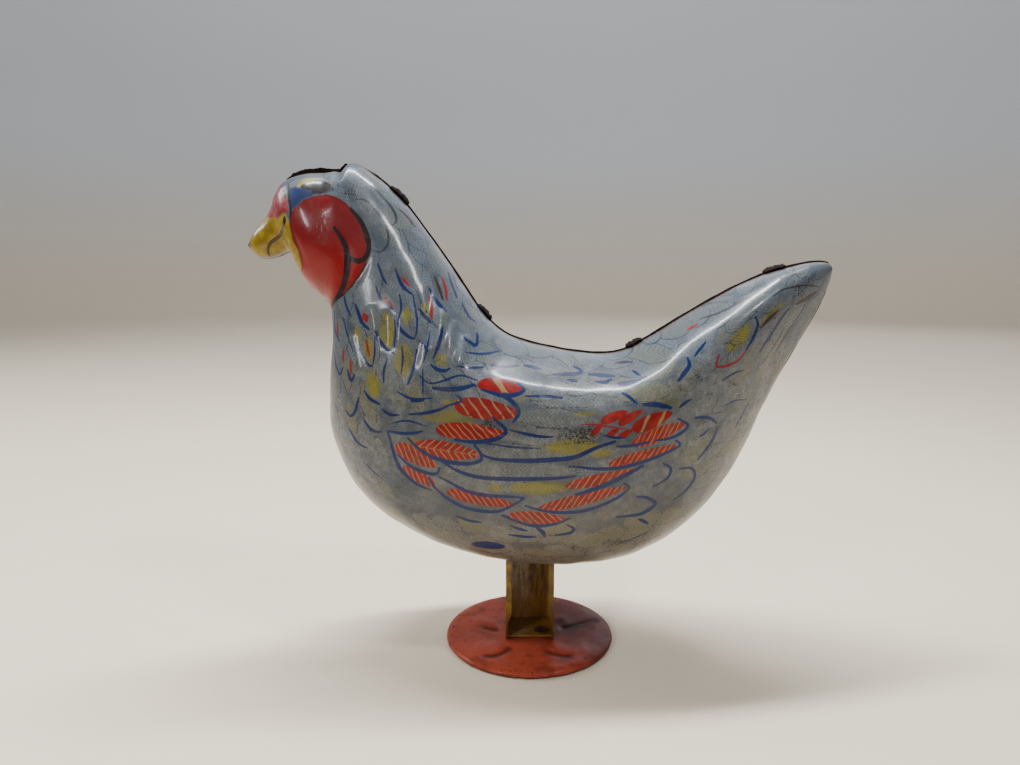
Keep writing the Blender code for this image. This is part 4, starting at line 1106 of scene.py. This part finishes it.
def foot_disc():
    """Pressed foot disc with embossed toes and a rolled rim."""
    outer = [
        (25.4, 1.8), (25.75, 1.45), (25.9, 1.0), (25.8, 0.55), (25.5, 0.2), (25.0, 0.02), (24.4, 0.0),
        (23.9, 0.02), (23.55, 0.35), (23.6, 0.9), (22.6, 1.4), (19.0, 1.4), (10.0, 1.3), (2.5, 1.3),
    ]
    dome = ((0, 10, 17, 21.0, 23.5, 24.7, 25.4), (2.0, 2.1, 2.3, 2.35, 2.2, 2.0, 1.75))
    rings = [(r, float(np.interp(r, *dome)), 1) for r in np.linspace(2.0, 25.2, 78)]
    rings += [(r, z, 0) for r, z in outer]
    angle = np.linspace(0, 2 * np.pi, DISC_TURNS, endpoint=False)
    points, press, rim = [], [], []
    for r, z, top in rings:
        x = LEG_X + r * np.cos(angle)
        y = r * np.sin(angle)
        push = np.zeros(DISC_TURNS)
        if top:
            for height, width, *line in TOES:
                near, gap, along = line_distance(x, y, line, 3 * width)
                fade = np.clip(np.minimum(along, 1 - along) * 5 + 0.15, 0, 1)
                push[near] += height * np.exp(-((gap / width) ** 2)) * fade
            push *= np.clip((24.6 - r) / 2.0, 0, 1) * np.clip((r - 9.0) / 1.5, 0, 1)
            push = np.minimum(push, 0.4)
            push += 0.05 * np.sin(0.7 * x) * np.sin(0.6 * y + 1)
        points.append(np.stack([x, y, np.maximum(z + push, 0)], -1))
        press.append(push)
        rim.append(np.full(DISC_TURNS, 1.0 if r > 24.5 else max(0.0, (r - 20) / 4.5)))
    points = np.concatenate(points)
    faces = band_faces(len(rings), DISC_TURNS, flip=True)
    faces.append(tuple(range(DISC_TURNS)))
    faces.append(tuple(reversed(range(len(points) - DISC_TURNS, len(points)))))
    fields = {"crease": np.concatenate(press), "rim": np.concatenate(rim)}
    disc = mesh_piece("foot_disc", points, faces, foot_paint(), "stand", fields=fields)
    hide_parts("base_disc")


def return_spring(metal):
    low, high = 35.75, 70.85
    wire, radius, turns = 0.9, 4.15, 8
    curve = bpy.data.curves.new("return_spring_wire", "CURVE")
    curve.dimensions = "3D"
    curve.bevel_depth = wire / 2 * MM
    curve.bevel_resolution = 4
    curve.use_fill_caps = True
    steps = turns * 30
    line = curve.splines.new("POLY")
    line.points.add(steps)
    for i in range(steps + 1):
        s = i / steps
        angle = 2 * math.pi * turns * s
        rise = (high - low) * (s - 0.9 * math.sin(2 * math.pi * s) / (2 * math.pi))
        place = (LEG_X + radius * math.cos(angle), radius * math.sin(angle), low + rise)
        line.points[i].co = (*(v * MM for v in place), 1)
    wound = bpy.data.objects.new("wire", curve)
    bpy.context.scene.collection.objects.link(wound)
    mesh = bpy.data.meshes.new_from_object(wound.evaluated_get(bpy.context.evaluated_depsgraph_get()))
    bpy.data.objects.remove(wound)
    spring = bpy.data.objects.new("wound_spring", mesh)
    bpy.context.scene.collection.objects.link(spring)
    mesh.polygons.foreach_set("use_smooth", [True] * len(mesh.polygons))
    mesh.materials.clear()
    mesh.materials.append(metal)
    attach(spring, "stand")
    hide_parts("return_spring")
    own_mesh(spring)


def carried_nodes(steel, brass):
    """Finishes on the CAD parts that keep their shape."""
    looks = {"leg_channel": leg_paint()}
    for name in ("gate_lever", "gate_spacer_left", "gate_spacer_right", "foot_eyelet"):
        looks[name] = brass
    hidden = {"shell_left", "shell_right", "comb_root", "base_disc", "return_spring"}
    for name, node in NODES.items():
        if name in hidden:
            continue
        mesh = node.data
        finish = looks.get(name, steel)
        if not mesh.materials:
            mesh.materials.append(finish)
        for i in range(len(mesh.materials)):
            mesh.materials[i] = finish


# ------------------------------------------------------------------ room


def studio():
    """A round pale floor that bends up into a wall, in metres."""
    look = Look("floor_finish")
    grain = look.noise(30.0, 4.0, 0.6)
    colour = look.tint(rgb(228, 213, 190), grain, 0.5, 216, 201, 178)
    colour = look.mix(look.step(look.axis("Z"), 0.0, 500.0), colour, rgb(212, 216, 222))
    look.bump(look.noise(1.0, 2.0), 0.02, 0.3)
    finish = look.finish(colour, look.blend(grain, 0.55, 0.7))
    flat, bend, top = 1.5, 0.6, 2.6
    profile = [(0.4, 0.0), (0.9, 0.0), (flat, 0.0)]
    for a in np.linspace(0.1, math.pi / 2, 14):
        profile.append((flat + bend * math.sin(a), bend - bend * math.cos(a)))
    profile.append((2.1, top))
    angles = np.linspace(0, 2 * math.pi, FLOOR_TURNS, False)
    points = [(0.0, 0.0, 0.0)]
    for r, z in profile:
        points += [(r * math.cos(a), r * math.sin(a), z) for a in angles]
    faces = [(0, 1 + j, 1 + (j + 1) % FLOOR_TURNS) for j in range(FLOOR_TURNS)]
    faces += band_faces(len(profile), FLOOR_TURNS, first=1, flip=True)
    mesh = bpy.data.meshes.new("floor")
    mesh.from_pydata(points, [], faces)
    mesh.polygons.foreach_set("use_smooth", [True] * len(faces))
    mesh.materials.append(finish)
    floor = bpy.data.objects.new("floor", mesh)
    bpy.context.scene.collection.objects.link(floor)


# Lights in metres and watts: name, place, size, power, colour and, for a strip, its other side
LIGHTS = [
    ("window", (-0.02, 0.09, 0.60), 0.42, 6.4, (0.95, 0.98, 1.0), 0.05),
    ("left", (-0.75, 0.20, 0.60), 0.35, 5.2, (0.97, 0.98, 1.0)),
    ("fill", (0.1, -0.9, 0.5), 0.8, 0.9, (1.0, 0.98, 0.95)),
    ("rear", (0.5, 0.9, 0.7), 0.9, 2.6, (0.95, 0.97, 1.0)),
    ("glint_left", (-0.43, -0.51, 0.37), 0.06, 1.5, (1.0, 1.0, 1.0), 0.2),
    ("glint_right", (0.30, -0.28, 0.62), 0.07, 1.4, (1.0, 1.0, 1.0)),
    ("backdrop", (0.0, 0.7, 1.7), 1.2, 14.0, (0.93, 0.96, 1.0)),
]


def area_light(name, place, size, power, colour, size_y=None):
    target = (0.0, 2.0, 0.5) if name == "backdrop" else (0.0, 0.0, 0.08)
    data = bpy.data.lights.new(name, "AREA")
    data.energy = power
    data.color = colour
    data.size = size
    if size_y:
        data.shape = "RECTANGLE"
        data.size_y = size_y
    lamp = bpy.data.objects.new(name, data)
    lamp.location = place
    aim = Vector(target) - Vector(place)
    lamp.rotation_mode = "QUATERNION"
    lamp.rotation_quaternion = aim.to_track_quat("-Z", "Y")
    bpy.context.scene.collection.objects.link(lamp)


def lights_and_camera():
    """Soft daylight from above and behind, and the camera."""
    for row in LIGHTS:
        area_light(*row)
    world = bpy.data.worlds.new("studio_world")
    world.use_nodes = True
    sky = world.node_tree.nodes["Background"]
    sky.inputs["Color"].default_value = (0.72, 0.78, 0.86, 1.0)
    sky.inputs["Strength"].default_value = 0.14
    bpy.context.scene.world = world
    data = bpy.data.cameras.new("camera")
    data.lens = 26.47
    data.sensor_width = 36.0
    data.clip_start = 0.01
    camera = bpy.data.objects.new("camera", data)
    camera.location = (-0.0089, -0.2212, 0.11635)
    camera.rotation_euler = (math.radians(80.87), 0.0, 0.0)
    bpy.context.scene.collection.objects.link(camera)
    bpy.context.scene.camera = camera


def build():
    lights_and_camera()
    rust = rusted_edge()
    steel = bare_metal("spring_steel", rgb(168, 166, 160), rgb(112, 106, 98))
    brass = bare_metal("gate_metal", rgb(150, 138, 110), rgb(106, 92, 68))
    hen_body()
    seam_beads(rust)
    seam_tabs(rust)
    comb_strip(rust)
    foot_disc()
    return_spring(steel)
    carried_nodes(steel, brass)
    studio()


build()
